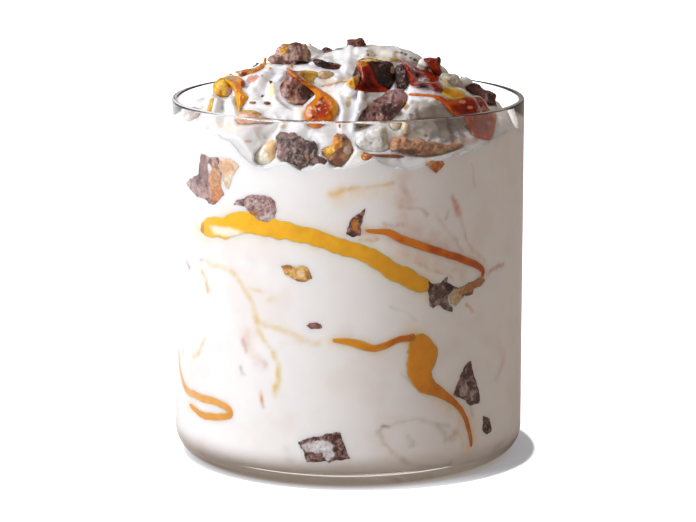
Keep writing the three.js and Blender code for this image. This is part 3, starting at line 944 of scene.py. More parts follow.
def revolved(profile: np.ndarray, sides: int) -> tuple[np.ndarray, list]:
    """Points and faces of a closed body of revolution.

    Args:
        profile: Radius and height from the axis at the bottom to the axis at the top, all round the body.
        sides: How many sides it has.

    Returns:
        The points and the faces. Both ends of the profile become one point each.
    """
    angle = 2 * np.pi * np.arange(sides) / sides
    radius, height = profile[1:-1, :1], profile[1:-1, 1:]
    points = np.stack([radius * np.cos(angle), radius * np.sin(angle), height + 0 * angle], -1).reshape(-1, 3)
    points = np.vstack([points, [0, 0, profile[0, 1]], [0, 0, profile[-1, 1]]])
    return points, capped(grid_faces(len(radius), sides, closed=True), len(radius), sides)


def arc(x: float, y: float, radius: float, start: float, stop: float, steps: int) -> np.ndarray:
    """Points on an arc, both ends included, with its angles in degrees."""
    angle = np.radians(np.linspace(start, stop, steps + 1))
    return np.stack([x + radius * np.cos(angle), y + radius * np.sin(angle)], -1)


def spline(stations: list | tuple, step: float) -> np.ndarray:
    """A smooth line through stations, resampled.

    Args:
        stations: Rows of two or more numbers. The first two say how far along the line a row lies.
        step: Distance between the new rows.

    Returns:
        The new rows.
    """
    rows = np.array(stations, float)
    padded = np.vstack([2 * rows[0] - rows[1], rows, 2 * rows[-1] - rows[-2]])
    parts = []
    for i in range(len(rows) - 1):
        p0, p1, p2, p3 = padded[i : i + 4]
        parts.append(curve(p0, p1, p2, p3, np.linspace(0, 1, 24, endpoint=False)[:, None]))
    fine = np.vstack([*parts, rows[-1:]])
    run = np.concatenate([[0], np.cumsum(np.hypot(*np.diff(fine[:, :2], axis=0).T))])
    wanted = np.linspace(0, run[-1], max(int(run[-1] / step), 4) + 1)
    return np.stack([np.interp(wanted, run, fine[:, k]) for k in range(fine.shape[1])], -1)


def loft(rings: np.ndarray) -> tuple[np.ndarray, list]:
    """Points and faces of a closed body through rings of the same number of points.

    Args:
        rings: An array of rings, points and coordinates.

    Returns:
        The points and the faces, with a fan over each end.
    """
    count, around = rings.shape[:2]
    points = np.vstack([rings.reshape(-1, 3), rings[0].mean(0), rings[-1].mean(0)])
    return points, capped(grid_faces(count, around, closed=True), count, around)


def facing_out(form: Form) -> Form:
    """The form with all its faces outwards."""
    work = opened(form.mesh)
    bmesh.ops.recalc_face_normals(work, faces=work.faces)
    if work.calc_volume(signed=True) < 0:
        bmesh.ops.reverse_faces(work, faces=work.faces)
    written(work, form.mesh)
    return form


# ------------------------------------------------------------------ the tumbler


@dataclass
class Tumbler:
    """The glass: a straight thin wall on a thick clear floor, with a rounded heel and rim."""

    vessel: Vessel = VESSEL
    sides: int = 256

    def profile(self) -> np.ndarray:
        """Radius and height all round the glass's section, from the foot's middle to the floor's."""
        v = self.vessel
        rim = v.wall / 2
        inside = v.heel - v.wall
        return np.vstack(
            [
                [[0, 0], [v.radius - v.heel - 6, 0]],
                arc(v.radius - v.heel, v.heel, v.heel, -90, 0, 16),
                [[v.radius, z] for z in np.linspace(v.heel + 4, v.height - rim - 4, 12)],
                arc(v.radius - rim, v.height - rim, rim, 0, 180, 12),
                [[v.inner, z] for z in np.linspace(v.height - rim - 4, v.floor + inside + 4, 12)],
                arc(v.inner - inside, v.floor + inside, inside, 0, -90, 14),
                [[v.inner - inside - 6, v.floor], [0, v.floor]],
            ]
        )

    def build(self, finish: Material) -> None:
        """Build the glass."""
        form = facing_out(Form.of(*revolved(self.profile(), self.sides)))
        form.shown("tumbler", finish, "glass", ("glass",))


# ------------------------------------------------------------------ what lies against the glass


@dataclass(frozen=True)
class Streak:
    """A thin trace of sauce in the ice cream, seen through the glass.

    Attributes:
        colour: Its colour.
        width: Its width, in mm.
        strength: How strong it is in its middle, from 0 to 1.
        route: Azimuths and heights along it.
    """

    colour: str
    width: float
    strength: float
    route: tuple[tuple[float, float], ...]

    def weight(self, azimuth: np.ndarray, height: np.ndarray) -> np.ndarray:
        """Its strength at each place on the wall."""
        line = spline(np.array(self.route) * (MM_PER_DEGREE, 1), 1.0)
        at = np.stack([azimuth * MM_PER_DEGREE, height], -1)
        off = line_distance(line, at, 1.5 * self.width)
        return self.strength * np.exp(-((off / (0.5 * self.width)) ** 2))


YELLOW_TRACE = "#DDBE5C"
AMBER_TRACE = "#D98B2C"
BROWN_TRACE = "#8A5540"
PINK_TRACE = "#D9AE96"
GREY_TRACE = "#A9A392"

STREAKS = (
    Streak(YELLOW_TRACE, 1.5, 0.75, (
        (-51.8, 52.7), (-44.8, 52.8), (-39.1, 51.1), (-35.8, 49.2), (-33.9, 46.7), (-32.3, 44.9),
        (-31.2, 42.8), (-30.5, 40.9), (-30.1, 38.4), (-27.6, 35.7), (-25.1, 33.2), (-23, 30.3),
        (-22.7, 27.2), (-24.1, 22.8),
    )),
    Streak("#E3C43F", 1.4, 0.6, ((-23, 29), (-22.7, 27.2), (-23.6, 24))),
    Streak(YELLOW_TRACE, 1.6, 0.6, (
        (-30.1, 40.4), (-25.8, 39.8), (-20.5, 38.6), (-16.2, 37.4), (-13.2, 36.3), (-9.6, 36.2),
    )),
    Streak(PINK_TRACE, 2.4, 0.5, ((-34, 38), (-34.5, 35), (-31, 31), (-28, 29.8))),
    Streak(BROWN_TRACE, 0.9, 0.8, ((-66.5, 51.1), (-63.3, 50))),
    Streak(BROWN_TRACE, 1.1, 0.7, ((-56, 52.4), (-54.5, 52.6))),
    Streak("#D8A93A", 1.4, 0.85, ((-54.6, 50.2), (-53, 48.4), (-51.9, 46))),
    Streak("#D9B24A", 1.1, 0.7, ((-53.9, 33.8), (-55.1, 31.8), (-58.2, 29.6), (-61.7, 28.3))),
    Streak(GREY_TRACE, 1.0, 0.6, ((-69.3, 28.9), (-70.4, 27.2))),
    Streak(YELLOW_TRACE, 1.1, 0.55, ((-32.4, 48), (-28.8, 48.1))),
    Streak(YELLOW_TRACE, 1.1, 0.5, ((-26.6, 46.3), (-23, 46.4))),
    Streak("#B07A4E", 1.2, 0.65, ((-36, 34.9), (-34.4, 33.1))),
    Streak("#A8875C", 1.0, 0.7, ((-37, 28.8), (-35.5, 27))),
    Streak(BROWN_TRACE, 1.0, 0.45, ((-28.2, 30.3), (-27.6, 29.7))),
    Streak("#B4622E", 0.9, 0.8, ((-29, 21.6), (-28.3, 19.3))),
    Streak("#E9A23A", 1.2, 0.6, ((-29.6, 23), (-29.2, 21))),
    Streak("#E4B23E", 1.5, 0.85, ((-5, 72.4), (-1, 73.7), (3, 74), (6, 73.9))),
    Streak("#C9A03A", 0.9, 0.7, ((7, 74.2), (11.4, 74.3), (14.4, 75))),
    Streak("#EFD9AE", 4.0, 0.6, ((-4, 71.8), (6, 72.6), (12, 73.4))),
    Streak("#C9702A", 1.5, 0.75, ((35, 70.8), (36.2, 68.5), (37.9, 66.2))),
    Streak("#CF9562", 0.9, 0.6, ((37.9, 66.2), (39.6, 62.6), (40.9, 59.6), (43.6, 56.8), (50, 53.7))),
    Streak("#B98062", 1.0, 0.55, ((33.2, 66.9), (33, 65.6))),
    Streak("#A8765E", 0.7, 0.5, ((16.7, 69.1), (20.1, 68.5), (22.9, 68.6), (26.1, 66.9))),
    Streak("#C07A48", 1.3, 0.6, ((11.5, 65.4), (15.1, 65.1), (17.4, 64.5))),
    Streak("#C99A30", 1.0, 0.75, ((4.4, 61.7), (7, 61.4), (9.5, 61.9))),
    Streak("#D9A78A", 4.5, 0.45, ((17, 70), (20, 64), (26, 61), (33, 59))),
    Streak("#D6A88E", 5.0, 0.4, ((18, 76), (19, 71))),
    Streak("#C98A6A", 1.3, 0.5, ((18.3, 74.6), (18.6, 72.6))),
    Streak("#C8923E", 0.6, 0.6, ((21.9, 55.5), (27.3, 53.7), (33, 51.6), (36, 49.9))),
    Streak("#DCB08A", 3.4, 0.5, ((18, 57.6), (25, 55.6), (33, 53.4), (40, 51))),
    Streak("#B5622E", 1.2, 0.85, ((61.4, 51.5), (55.6, 50.8), (51.6, 50.3))),
    Streak("#D0A24A", 0.8, 0.5, ((43.3, 77.4), (44.3, 74.4), (45.2, 72.4))),
    Streak("#CE9F82", 0.9, 0.5, ((29.4, 66.6), (32.4, 63.2), (36.3, 60), (39.3, 56.8))),
    Streak("#D2A184", 2.2, 0.4, ((59.3, 31.2), (61.5, 27.1), (57.5, 22.6))),
    Streak("#B9785A", 1.6, 0.5, ((59.3, 4.8), (63.7, 6))),
    Streak("#A66A5C", 0.7, 0.5, ((39.7, 23.8), (42.4, 19.7), (44.7, 15.7))),
    Streak("#D98A28", 1.0, 0.8, ((41.4, 43.9), (43.2, 42.6), (44.4, 41.4))),
    Streak("#A8A08E", 1.1, 0.55, (
        (11.2, 16.1), (9.6, 14.5), (12.2, 11.1), (17.8, 7.4), (23.7, 5.2), (31.1, 4), (37, 4.8),
    )),
    Streak("#B4AD9C", 0.9, 0.45, (
        (11.2, 16.1), (18.5, 16.8), (27.2, 16.1), (34.1, 13.9), (39, 11.4), (40.4, 7.9),
    )),
    Streak("#A79784", 1.4, 0.5, ((29.8, 14.9), (32.1, 12.7), (35.7, 10.5), (38.2, 12.7))),
    Streak("#C9A68E", 1.2, 0.5, ((33, 10.6), (36.5, 12), (38.4, 13.4))),
    Streak("#B0A796", 1.3, 0.45, ((20, 12.6), (21.6, 11.2), (20.6, 10.4))),
    Streak("#6E3D38", 0.7, 0.7, ((11, 16), (12.4, 15.8))),
    Streak("#C2B6AE", 1.6, 0.5, ((-60.3, 4.3), (-49.1, 3.1))),
    Streak("#C8C0B6", 2.6, 0.6, ((-19.7, 9.4), (-19.2, 7.6))),
    Streak("#8C7B66", 0.7, 0.65, ((10.2, 3), (20.3, 3.4), (31.1, 3.2))),
    Streak("#A89C90", 0.8, 0.4, ((14, 44.6), (18, 43.6), (22, 41.8))),
    Streak("#B8A89C", 0.7, 0.4, ((17, 28.6), (20, 26.4), (23.4, 24.6))),
    Streak("#9C5A50", 1.1, 0.6, ((22.6, 25.6), (24, 24))),
    # the side that the photo doesn't show
    Streak(YELLOW_TRACE, 1.4, 0.6, ((-98, 58), (-105, 54), (-110, 47), (-108, 40), (-114, 33), (-122, 30))),
    Streak(YELLOW_TRACE, 1.4, 0.6, ((84, 68), (90, 63), (98, 61), (104, 55), (103, 48))),
    Streak(AMBER_TRACE, 1.3, 0.7, ((150, 46), (158, 44), (166, 45), (170, 49))),
    Streak("#DDBE5C", 1.2, 0.6, ((-150, 70), (-142, 67), (-134, 68), (-128, 64))),
    Streak("#C07A48", 1.2, 0.6, ((-112, 20), (-120, 17), (-128, 18))),
    Streak("#D9A78A", 3.0, 0.4, ((130, 48), (120, 46), (112, 50))),
    Streak("#D2A184", 2.6, 0.4, ((-165, 14), (-155, 16), (-150, 22))),
)


@dataclass(frozen=True)
class Ribbon:
    """A caramel ribbon pressed against the glass.

    Attributes:
        node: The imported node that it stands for.
        colour: Its main colour.
        deep: Its colour towards its lower end.
        pale: Its colour at its edges.
        depth: How far it runs into the ice cream.
        routes: Strips, each with azimuths, heights and widths along it.
    """

    node: str
    colour: str
    deep: str
    pale: str
    depth: float
    routes: tuple[tuple[tuple[float, float, float], ...], ...]


RIBBONS = (
    Ribbon("ribbon_amber_upper", "#F8BC22", "#EBA61C", "#F2D078", 5, ((
        (-55.6, 60.2, 2.4), (-53, 61, 4.4), (-48.1, 61.9, 5.6), (-33.2, 64.0, 6.1), (-15.6, 62.8, 4.6),
        (0.6, 59.4, 4.4), (16.6, 53.5, 4.9), (24.4, 50, 4.4), (27, 48.4, 2),
    ),)),
    Ribbon("ribbon_red_upper", "#E6820F", "#C6560A", "#DC9A50", 3.5, ((
        (5.4, 63.8, 0.9), (12, 63.3, 1.7), (17, 61.5, 2.1), (24, 59.4, 2.2), (31, 57.2, 2.1),
        (39.4, 55, 2.2), (46.3, 52.9, 2), (49.2, 51.2, 1.6), (48.6, 49.4, 1.2),
    ),)),
    Ribbon("ribbon_lower_right", "#E6961A", "#CC6C0A", "#EFC27A", 4, (
        (
            (-5, 37.1, 1.1), (-1, 37, 1.8), (3.8, 36.3, 2.4), (8, 35.1, 1.9), (12, 35.6, 1.9),
            (17, 37, 1.9), (22, 37.4, 2.4),
        ),
        (
            (21.5, 37.6, 3.4), (23.4, 35, 7.8), (24, 31.5, 8.6), (24.2, 27.8, 7), (27.4, 24.8, 4.4),
            (31.6, 22.4, 2.8), (37, 19.2, 1.8), (41.4, 15.4, 1.5), (43.4, 11, 1.4), (44.2, 7.6, 1),
        ),
    )),
    Ribbon("ribbon_loop_lower_left", "#EEAC5C", "#E49C40", "#F3CFA4", 3, ((
        (-75.5, 27.4, 1), (-73.4, 22.2, 1.8), (-67, 18.8, 2.1), (-58.3, 18.3, 2.2), (-49, 18.5, 2.1),
        (-43, 17.9, 2), (-41.8, 16, 2), (-47.8, 14.6, 2), (-56.5, 14.3, 2.1), (-64.6, 15.1, 1.3),
    ),)),
    Ribbon("ribbon_back_amber", "#EDAA14", "#D07A06", "#F2D078", 5, ((
        (118, 66, 1.6), (128, 66.5, 3.8), (142, 64, 5), (160, 59, 4.6), (178, 56.5, 4), (196, 58, 4.4),
        (210, 62, 2.4),
    ),)),
    Ribbon("ribbon_back_lower", "#E08A14", "#C25A08", "#EFC27A", 4, ((
        (104, 40, 1.2), (112, 36, 2.6), (124, 33, 3.6), (138, 32.5, 3), (150, 29, 2.2), (160, 23, 1.8),
        (172, 20, 1.2),
    ),)),
    Ribbon("ribbon_back_loop", "#E79A3E", "#DE8420", "#F3CFA4", 3, ((
        (188, 30, 1.2), (198, 27, 2.4), (212, 27.5, 3), (226, 31, 2.4), (238, 36, 1.4),
    ),)),
)


@dataclass
class Ribbons:
    """All the caramel ribbons against the glass."""

    ribbons: tuple[Ribbon, ...] = RIBBONS
    step: float = 0.3  # between the points along a ribbon, in mm
    across: int = 17  # points across its face
    back: int = 5  # points across its back
    proud: float = 0.05  # how far its face stands out of the filling's
    bevel: tuple[float, float] = (0.86, 0.25)  # where its face starts to round off, and by how much

    def strip(self, ribbon: Ribbon, route: tuple, seed: int) -> Form:
        """Build one strip.

        Args:
            ribbon: The ribbon that the strip is of.
            route: Its azimuths, heights and widths.
            seed: Which waves its edges have.

        Returns:
            The strip, painted.
        """
        stations = np.array(route, float) * (MM_PER_DEGREE, 1, 1)
        line = spline(stations, self.step)
        way = np.gradient(line[:, :2], axis=0)
        way /= np.linalg.norm(way, axis=1)[:, None]
        side = np.stack([-way[:, 1], way[:, 0]], -1)
        reached = np.linspace(0, 1, len(line))
        place = np.column_stack([line[:, :2], np.zeros(len(line))])
        wobble = 1 + 0.1 * ripple(place, 5, seed)
        lean = 0.16 * line[:, 2] * ripple(place, 7, seed + 1)
        taper = np.sqrt(np.clip(np.minimum(reached, 1 - reached) / 0.02, 0.04, 1))
        half = 0.5 * line[:, 2] * wobble * taper
        share = np.linspace(-1, 1, self.across)
        shares = np.concatenate([share, np.linspace(0.8, -0.8, self.back)])
        flat = line[:, None, :2] + side[:, None] * (half[:, None] * shares + lean[:, None])[..., None]
        start, drop = self.bevel
        sunk_face = drop * np.clip(np.abs(share) - start, 0, 1) / (1 - start) - self.proud
        deep = ribbon.depth * (0.35 + 0.65 * np.sin(np.pi * reached))
        sunk_face = np.broadcast_to(sunk_face, (len(line), self.across))
        sunk_back = np.broadcast_to(deep[:, None], (len(line), self.back))
        sunk = np.concatenate([sunk_face, sunk_back], 1)
        rings = VESSEL.on_wall(flat[..., 0] / MM_PER_DEGREE, flat[..., 1], sunk)
        form = facing_out(Form.of(*loft(rings), ribbon.colour))
        around = self.across + self.back
        count = len(line) * around
        t = np.repeat(reached, around)
        off = np.tile(np.concatenate([np.abs(share), np.ones(self.back)]), len(line))
        patch = ripple(form.points[:count], 4, seed + 2)
        shade = np.zeros(len(form.paint))
        shade[:count] = fade(t + 0.35 * patch, 0.15, 0.95)
        form.tint(ribbon.deep, shade)
        rim = np.ones(len(form.paint))
        rim[:count] = 0.85 * fade(off, 1 - np.clip(0.45 / half.mean(), 0.1, 0.5), 1.04)
        return form.tint(ribbon.pale, rim)

    def build(self, finish: Material) -> None:
        """Build every ribbon."""
        for number, ribbon in enumerate(self.ribbons):
            strips = [self.strip(ribbon, route, 10 * number + i) for i, route in enumerate(ribbon.routes)]
            form = strips[0].joined(strips[1:])
            if ribbon.node == "ribbon_amber_upper":
                self.wash_out(form)
            name = ribbon.node.replace("ribbon", "caramel_ribbon")
            form.shown(name, finish, "amber_caramel", (ribbon.node,))

    @staticmethod
    def wash_out(form: Form) -> None:
        """Paint the pale patch near the broad ribbon's left end, where it lies under a film of cream."""
        points = form.points
        azimuth, height = azimuth_of(points[:, 0], points[:, 1]), points[:, 2]
        cream = np.hypot((azimuth + 43) / 8, (height - 61.4) / 1.3) + 0.25 * ripple(points, 2.5, 5)
        form.tint("#F6EEDC", 0.95 * fade(cream, 1.2, 0.6))
        dark_end = np.hypot((azimuth + 54.6) / 1.3, (height - 60.6) / 2.4)
        form.tint("#B96A10", 0.8 * fade(dark_end, 1.2, 0.3))


# ------------------------------------------------------------------ the ice cream


@dataclass
class Filling:
    """The ice cream inside the glass, up to the line where its mound leaves the wall."""

    step: float = 0.42  # between points on the front half, in mm
    back_step: float = 0.9
    rows_to: float = 80.0  # about how high it is, which gives its rows of points
    inner_edge: tuple[tuple[float, float], ...] = ((0.5, 0.1), (2.5, -1.5), (8, -6))  # inwards, up
    middle: float = 70.0  # height of its top in the middle, under the mound
    colour: str = "#F4F1EE"
    streaks: float = 0.75  # strength of the streaks
    halo: float = 0.5  # strength of the stains round the ribbons

    def columns(self) -> np.ndarray:
        """Azimuths of the columns of points, closer together on the front half."""
        front = np.arange(-92, 92, self.step / MM_PER_DEGREE)
        back = np.arange(92, 268, self.back_step / MM_PER_DEGREE)
        return np.concatenate([front, back])

    def build(self, finish: Material) -> None:
        """Build the filling."""
        azimuth = self.columns()
        wrapped = (azimuth + 180) % 360 - 180
        rough = np.column_stack([wrapped * MM_PER_DEGREE, 0 * wrapped, 0 * wrapped])
        top = MOUND.contact_height(wrapped) + 0.45 * ripple(rough, 2.6, 3) + 0.15 * ripple(rough, 0.9, 4)
        radius, curl = VESSEL.fill, VESSEL.fill_heel
        heel = arc(radius - curl, VESSEL.fill_floor + curl, curl, -90, 0, 12)
        low = heel[-1, 1]
        rows = int((self.rows_to - low) / self.step)
        angle = np.radians(azimuth)
        around = len(azimuth)
        rings = [(np.full(around, r), np.full(around, z)) for r, z in heel]
        rings += [(np.full(around, radius), low + (top - low) * i / rows) for i in range(1, rows + 1)]
        rings += [(radius - inwards + 0 * top, top + rise) for inwards, rise in self.inner_edge]
        points = np.vstack([np.stack([r * np.sin(angle), -r * np.cos(angle), z], -1) for r, z in rings])
        points = np.vstack([points, [0, 0, VESSEL.fill_floor], [0, 0, self.middle]])
        faces = capped(grid_faces(len(rings), around, closed=True), len(rings), around)
        form = facing_out(Form.of(points, faces, self.colour))
        self.paint(form)
        form.shown("ice_cream_filling", finish, "ice_cream", ("ice_cream",))

    def paint(self, form: Form) -> None:
        """Paint the traces of sauce that show through the glass.

        Args:
            form: The filling.
        """
        points = form.points
        azimuth = azimuth_of(points[:, 0], points[:, 1]) + 0.9 * ripple(points, 5, 21)
        height = points[:, 2] + 0.7 * ripple(points, 5, 22)
        broken = 0.55 + 0.6 * ripple(points, 2.2, 23)
        form.tint("#EDE3DC", 0.5 * fade(ripple(points, 14, 24), -0.1, 0.6))
        for ribbon in RIBBONS:
            for route in ribbon.routes:
                line = tuple((a, z) for a, z, _ in route)
                width = 1.2 * float(np.mean([w for _, _, w in route])) + 0.8
                halo = Streak(ribbon.pale, width, self.halo, line)
                form.tint(ribbon.pale, halo.weight(azimuth, height) * np.clip(broken + 0.3, 0, 1))
        for streak in STREAKS:
            shown = streak.weight(azimuth, height) * np.clip(broken + 0.25, 0.25, 1.15)
            form.tint(streak.colour, self.streaks * shown)
        form.wet = 0.6 * np.ones(len(points))


@dataclass(frozen=True)
class Dollop:
    """An egg-shaped lump of ice cream, melted into the mound.

    Attributes:
        x: Where its middle lies.
        y: Where its middle lies.
        lift: How far its middle lies above the mound's surface.
        size: Half its length, width and height.
        turn: Pitch, roll and yaw, in degrees.
    """

    x: float
    y: float
    lift: float
    size: tuple[float, float, float]
    turn: tuple[float, float, float] = (0, 0, 0)

    def form(self) -> Form:
        """Build the lump."""
        work = bmesh.new()
        bmesh.ops.create_icosphere(work, subdivisions=3, radius=1.0)
        height = float(MOUND.height(np.array([self.x]), np.array([self.y]))[0])
        pitch, roll, yaw = (math.radians(a) for a in self.turn)
        spin = Matrix.Rotation(yaw, 4, "Z") @ Matrix.Rotation(roll, 4, "Y") @ Matrix.Rotation(pitch, 4, "X")
        size = Matrix.Diagonal((*self.size, 1))
        place = Matrix.Translation((self.x, self.y, height + self.lift)) @ spin @ size
        bmesh.ops.transform(work, matrix=place, verts=work.verts)
        return Form(written(work))


DOLLOPS = (
    # left of the middle
    Dollop(-19, -14, -1.8, (6, 4.2, 3), (-30, -10, 20)),
    Dollop(-26, -14.5, -1.4, (4, 3.4, 2.6), (-25, 15, -30)),
    Dollop(-31, -17.8, -0.6, (4.2, 2.2, 3.2), (-20, 10, 10)),
    # folds between the drip and the large frosted piece
    Dollop(0.5, -24.5, -0.9, (1.5, 6.5, 2.2), (-38, 0, 6)),
    Dollop(3.4, -28.4, -0.9, (1.3, 6, 2.4), (-42, 0, -6)),
    # lumps by the scoop
    Dollop(14.4, -27.6, 1.0, (2.5, 2.0, 1.6), (-20, -20, 10)),
    Dollop(21.5, -24.5, -2.6, (10.6, 8.4, 5.8), (-28, 14, 24)),
    Dollop(28.5, -8.6, 0.4, (2.6, 2.2, 2.4), (0, 16, 0)),
    Dollop(18.6, -4.6, 1.2, (1.5, 1.3, 1.3), (0, 12, 0)),
    # towards the front edge
    Dollop(2.4, -39.2, -1.8, (4.6, 1.6, 1.6), (-50, 0, -4)),
    Dollop(10, 2, -0.6, (9, 5, 2.6), (0, 8, 0)),
    # back
    Dollop(-12, 12, -1.4, (8, 5, 3.4), (10, 0, 40)),
    Dollop(8, 18, -1.2, (9, 4, 3), (24, 0, -10)),
    Dollop(20, 10, -1.4, (6, 5, 3), (10, 10, 60)),
    Dollop(-28, 24, -1.2, (6, 4, 2.8), (30, -20, -40)),
    Dollop(-4, 33, -1.2, (7, 3, 2.6), (44, 0, 4)),
    Dollop(30, 22, -1.2, (6, 4, 2.8), (30, 24, 40)),
    Dollop(36, 8, -1.2, (3, 7, 3), (0, 34, -6)),
    Dollop(-37, 9, -1.2, (3, 6, 2.8), (0, -34, 6)),
    Dollop(16, 33, -1.2, (5, 3, 2.4), (44, 0, -20)),
    Dollop(-18, 32, -1.2, (5, 3, 2.4), (44, 0, 26)),
)


@dataclass(frozen=True)
class Dab:
    """A patch of another colour.

    Attributes:
        u: The pixel column of its middle, or its azimuth on the wall.
        v: The pixel row of its middle, or its height on the wall.
        reach: Half its width and half its height, in pixels, or in mm on the wall.
        colour: Its colour.
        amount: Its share of the colour, from 0 to 1.
        wet: How wet it is.
    """

    u: float
    v: float
    reach: tuple[float, float]
    colour: str
    amount: float = 1.0
    wet: float = 0.0

    def weight(self, u: np.ndarray, v: np.ndarray, rough: np.ndarray) -> np.ndarray:
        """Its share of the colour at each place, with a torn edge."""
        off = np.hypot((u - self.u) / self.reach[0], (v - self.v) / self.reach[1])
        return self.amount * fade(off + 0.3 * rough, 1.15, 0.75)


@dataclass(frozen=True)
class Crease:
    """A ridge or a furrow in the mound, placed by where it shows.

    Attributes:
        height: How high it stands, or how deep it lies if less than 0, in mm.
        width: Its width, in pixels.
        route: Pixels along it.
    """

    height: float
    width: float
    route: tuple[tuple[float, float], ...]


CREASES = (
    # the peak and the slope under it
    Crease(0.7, 9, ((352, 49), (350, 60), (345, 71), (337, 80), (326, 86))),
    Crease(-0.7, 6, ((333, 55), (339, 66), (342, 74))),
    Crease(-0.5, 5, ((353, 50), (352, 58))),
    Crease(0.6, 7, ((358, 52), (375, 53), (392, 56))),
    Crease(-0.5, 6, ((362, 66), (352, 74), (345, 80))),
    # folds in the middle
    Crease(0.9, 6, ((361, 102), (358, 114), (354, 130))),
    Crease(-0.3, 6, ((344, 95), (349, 106), (348, 124))),
    Crease(0.7, 5, ((340, 98), (343, 112), (342, 130))),
    Crease(-0.9, 5, ((367, 96), (362, 105), (359, 112))),
    Crease(0.5, 5, ((351, 92), (366, 92), (380, 92))),
    # left
    Crease(0.8, 6, ((258, 82), (266, 74), (277, 69), (288, 68))),
    Crease(0.7, 6, ((288, 68), (283, 76), (278, 82))),
    Crease(-0.8, 7, ((275, 74), (268, 82), (263, 92))),
    Crease(-0.7, 6, ((256, 90), (262, 98), (272, 104))),
    Crease(0.6, 6, ((272, 84), (274, 96), (280, 108), (290, 113))),
    Crease(-0.6, 7, ((262, 108), (276, 113), (292, 117))),
    Crease(1.1, 7, ((216, 120), (216, 108), (220, 98), (227, 96), (232, 103), (236, 118))),
    Crease(-1.0, 6, ((222, 106), (224, 116), (223, 124))),
    Crease(0.6, 6, ((192, 122), (198, 116), (206, 118))),
    # front left
    Crease(0.7, 5, ((286, 120), (283, 129), (277, 136))),
    Crease(-0.6, 5, ((280, 122), (276, 130), (268, 136))),
    Crease(0.5, 6, ((300, 116), (302, 126), (312, 134), (326, 138))),
    # the scoop
    Crease(0.6, 6, ((410, 99), (426, 100), (440, 105), (451, 116), (461, 130), (470, 139))),
    Crease(-1.2, 6, ((413, 104), (418, 108))),
    Crease(0.5, 8, ((424, 130), (440, 134), (458, 139))),
    Crease(-0.5, 7, ((420, 121), (440, 124), (456, 131))),
    Crease(-0.7, 5, ((497, 104), (498, 118), (494, 134))),
    Crease(0.6, 6, ((504, 112), (508, 126), (513, 138))),
)


MOUND_DABS = (
    Dab(271.5, 91, (2.6, 9), "#F0DC9A", 0.8), Dab(348.5, 102, (2.8, 6), "#B5A068", 0.8),
    # painted shade: the scoop is painted grey-brown as shade, and the second dab paints its upper left
    # lighter where it is lit
    Dab(438, 120, (31, 23), "#8C7F72", 0.95), Dab(424, 104, (10, 3), "#C4BAAC", 0.8),
    # the second dab paints a lighter patch low in the scoop's painted shade
    Dab(405.5, 105.9, (3.4, 3.4), "#9A7420", 0.9, 0.6), Dab(419, 133, (5, 3), "#CFC6B8", 0.8),
    # the first dab is a slight painted shade on the mound's right slope
    Dab(508, 132, (11, 24), "#E2D8D2", 0.5), Dab(384, 55, (18, 4), "#F0DDB0", 0.2),
    Dab(329, 81, (8, 3), "#E8C8A0", 0.5), Dab(262, 66, (7, 4), "#EFD8B0", 0.5),
    Dab(232, 128, (14, 4), "#EEDFC4", 0.4), Dab(300, 112, (4, 9), "#EBD3B4", 0.5),
    Dab(466, 141, (12, 4), "#D8B49C", 0.6), Dab(401.5, 52.8, (1.8, 1.2), "#4A2A1C", 0.9),
    Dab(405.4, 54.2, (1.6, 1.4), "#6A3A1C", 0.9),
    Dab(410.5, 58, (1.5, 1.1), "#5A2E18", 0.9), Dab(414.6, 59.6, (2, 1.3), "#3A1E14", 0.9),
    Dab(417.6, 61.6, (1.3, 1.2), "#7A4422", 0.9), Dab(397, 52.2, (3, 1.2), "#C99A62", 0.8),
    Dab(336, 48.6, (7, 1.8), "#6A5A58", 0.9),
    Dab(283, 128, (3, 2), "#B88A5A", 0.7), Dab(250, 141, (4, 1.6), "#C79A62", 0.6),
    Dab(209, 128, (3, 1.4), "#B98A6A", 0.5), Dab(424, 77, (16, 10), "#5E0C06", 0.95, 1),
    Dab(478, 108, (6, 5), "#7A1E10", 0.95, 1),
    Dab(262, 119.5, (7, 2.6), "#CC9864", 0.85, 1), Dab(422, 64, (5, 3), "#EFE6D0", 0.8),
)


def in_front(points: np.ndarray) -> np.ndarray:
    """How much places belong to the side that the photograph shows, from 0 to 1."""
    return fade(points[:, 1], 14, 6)


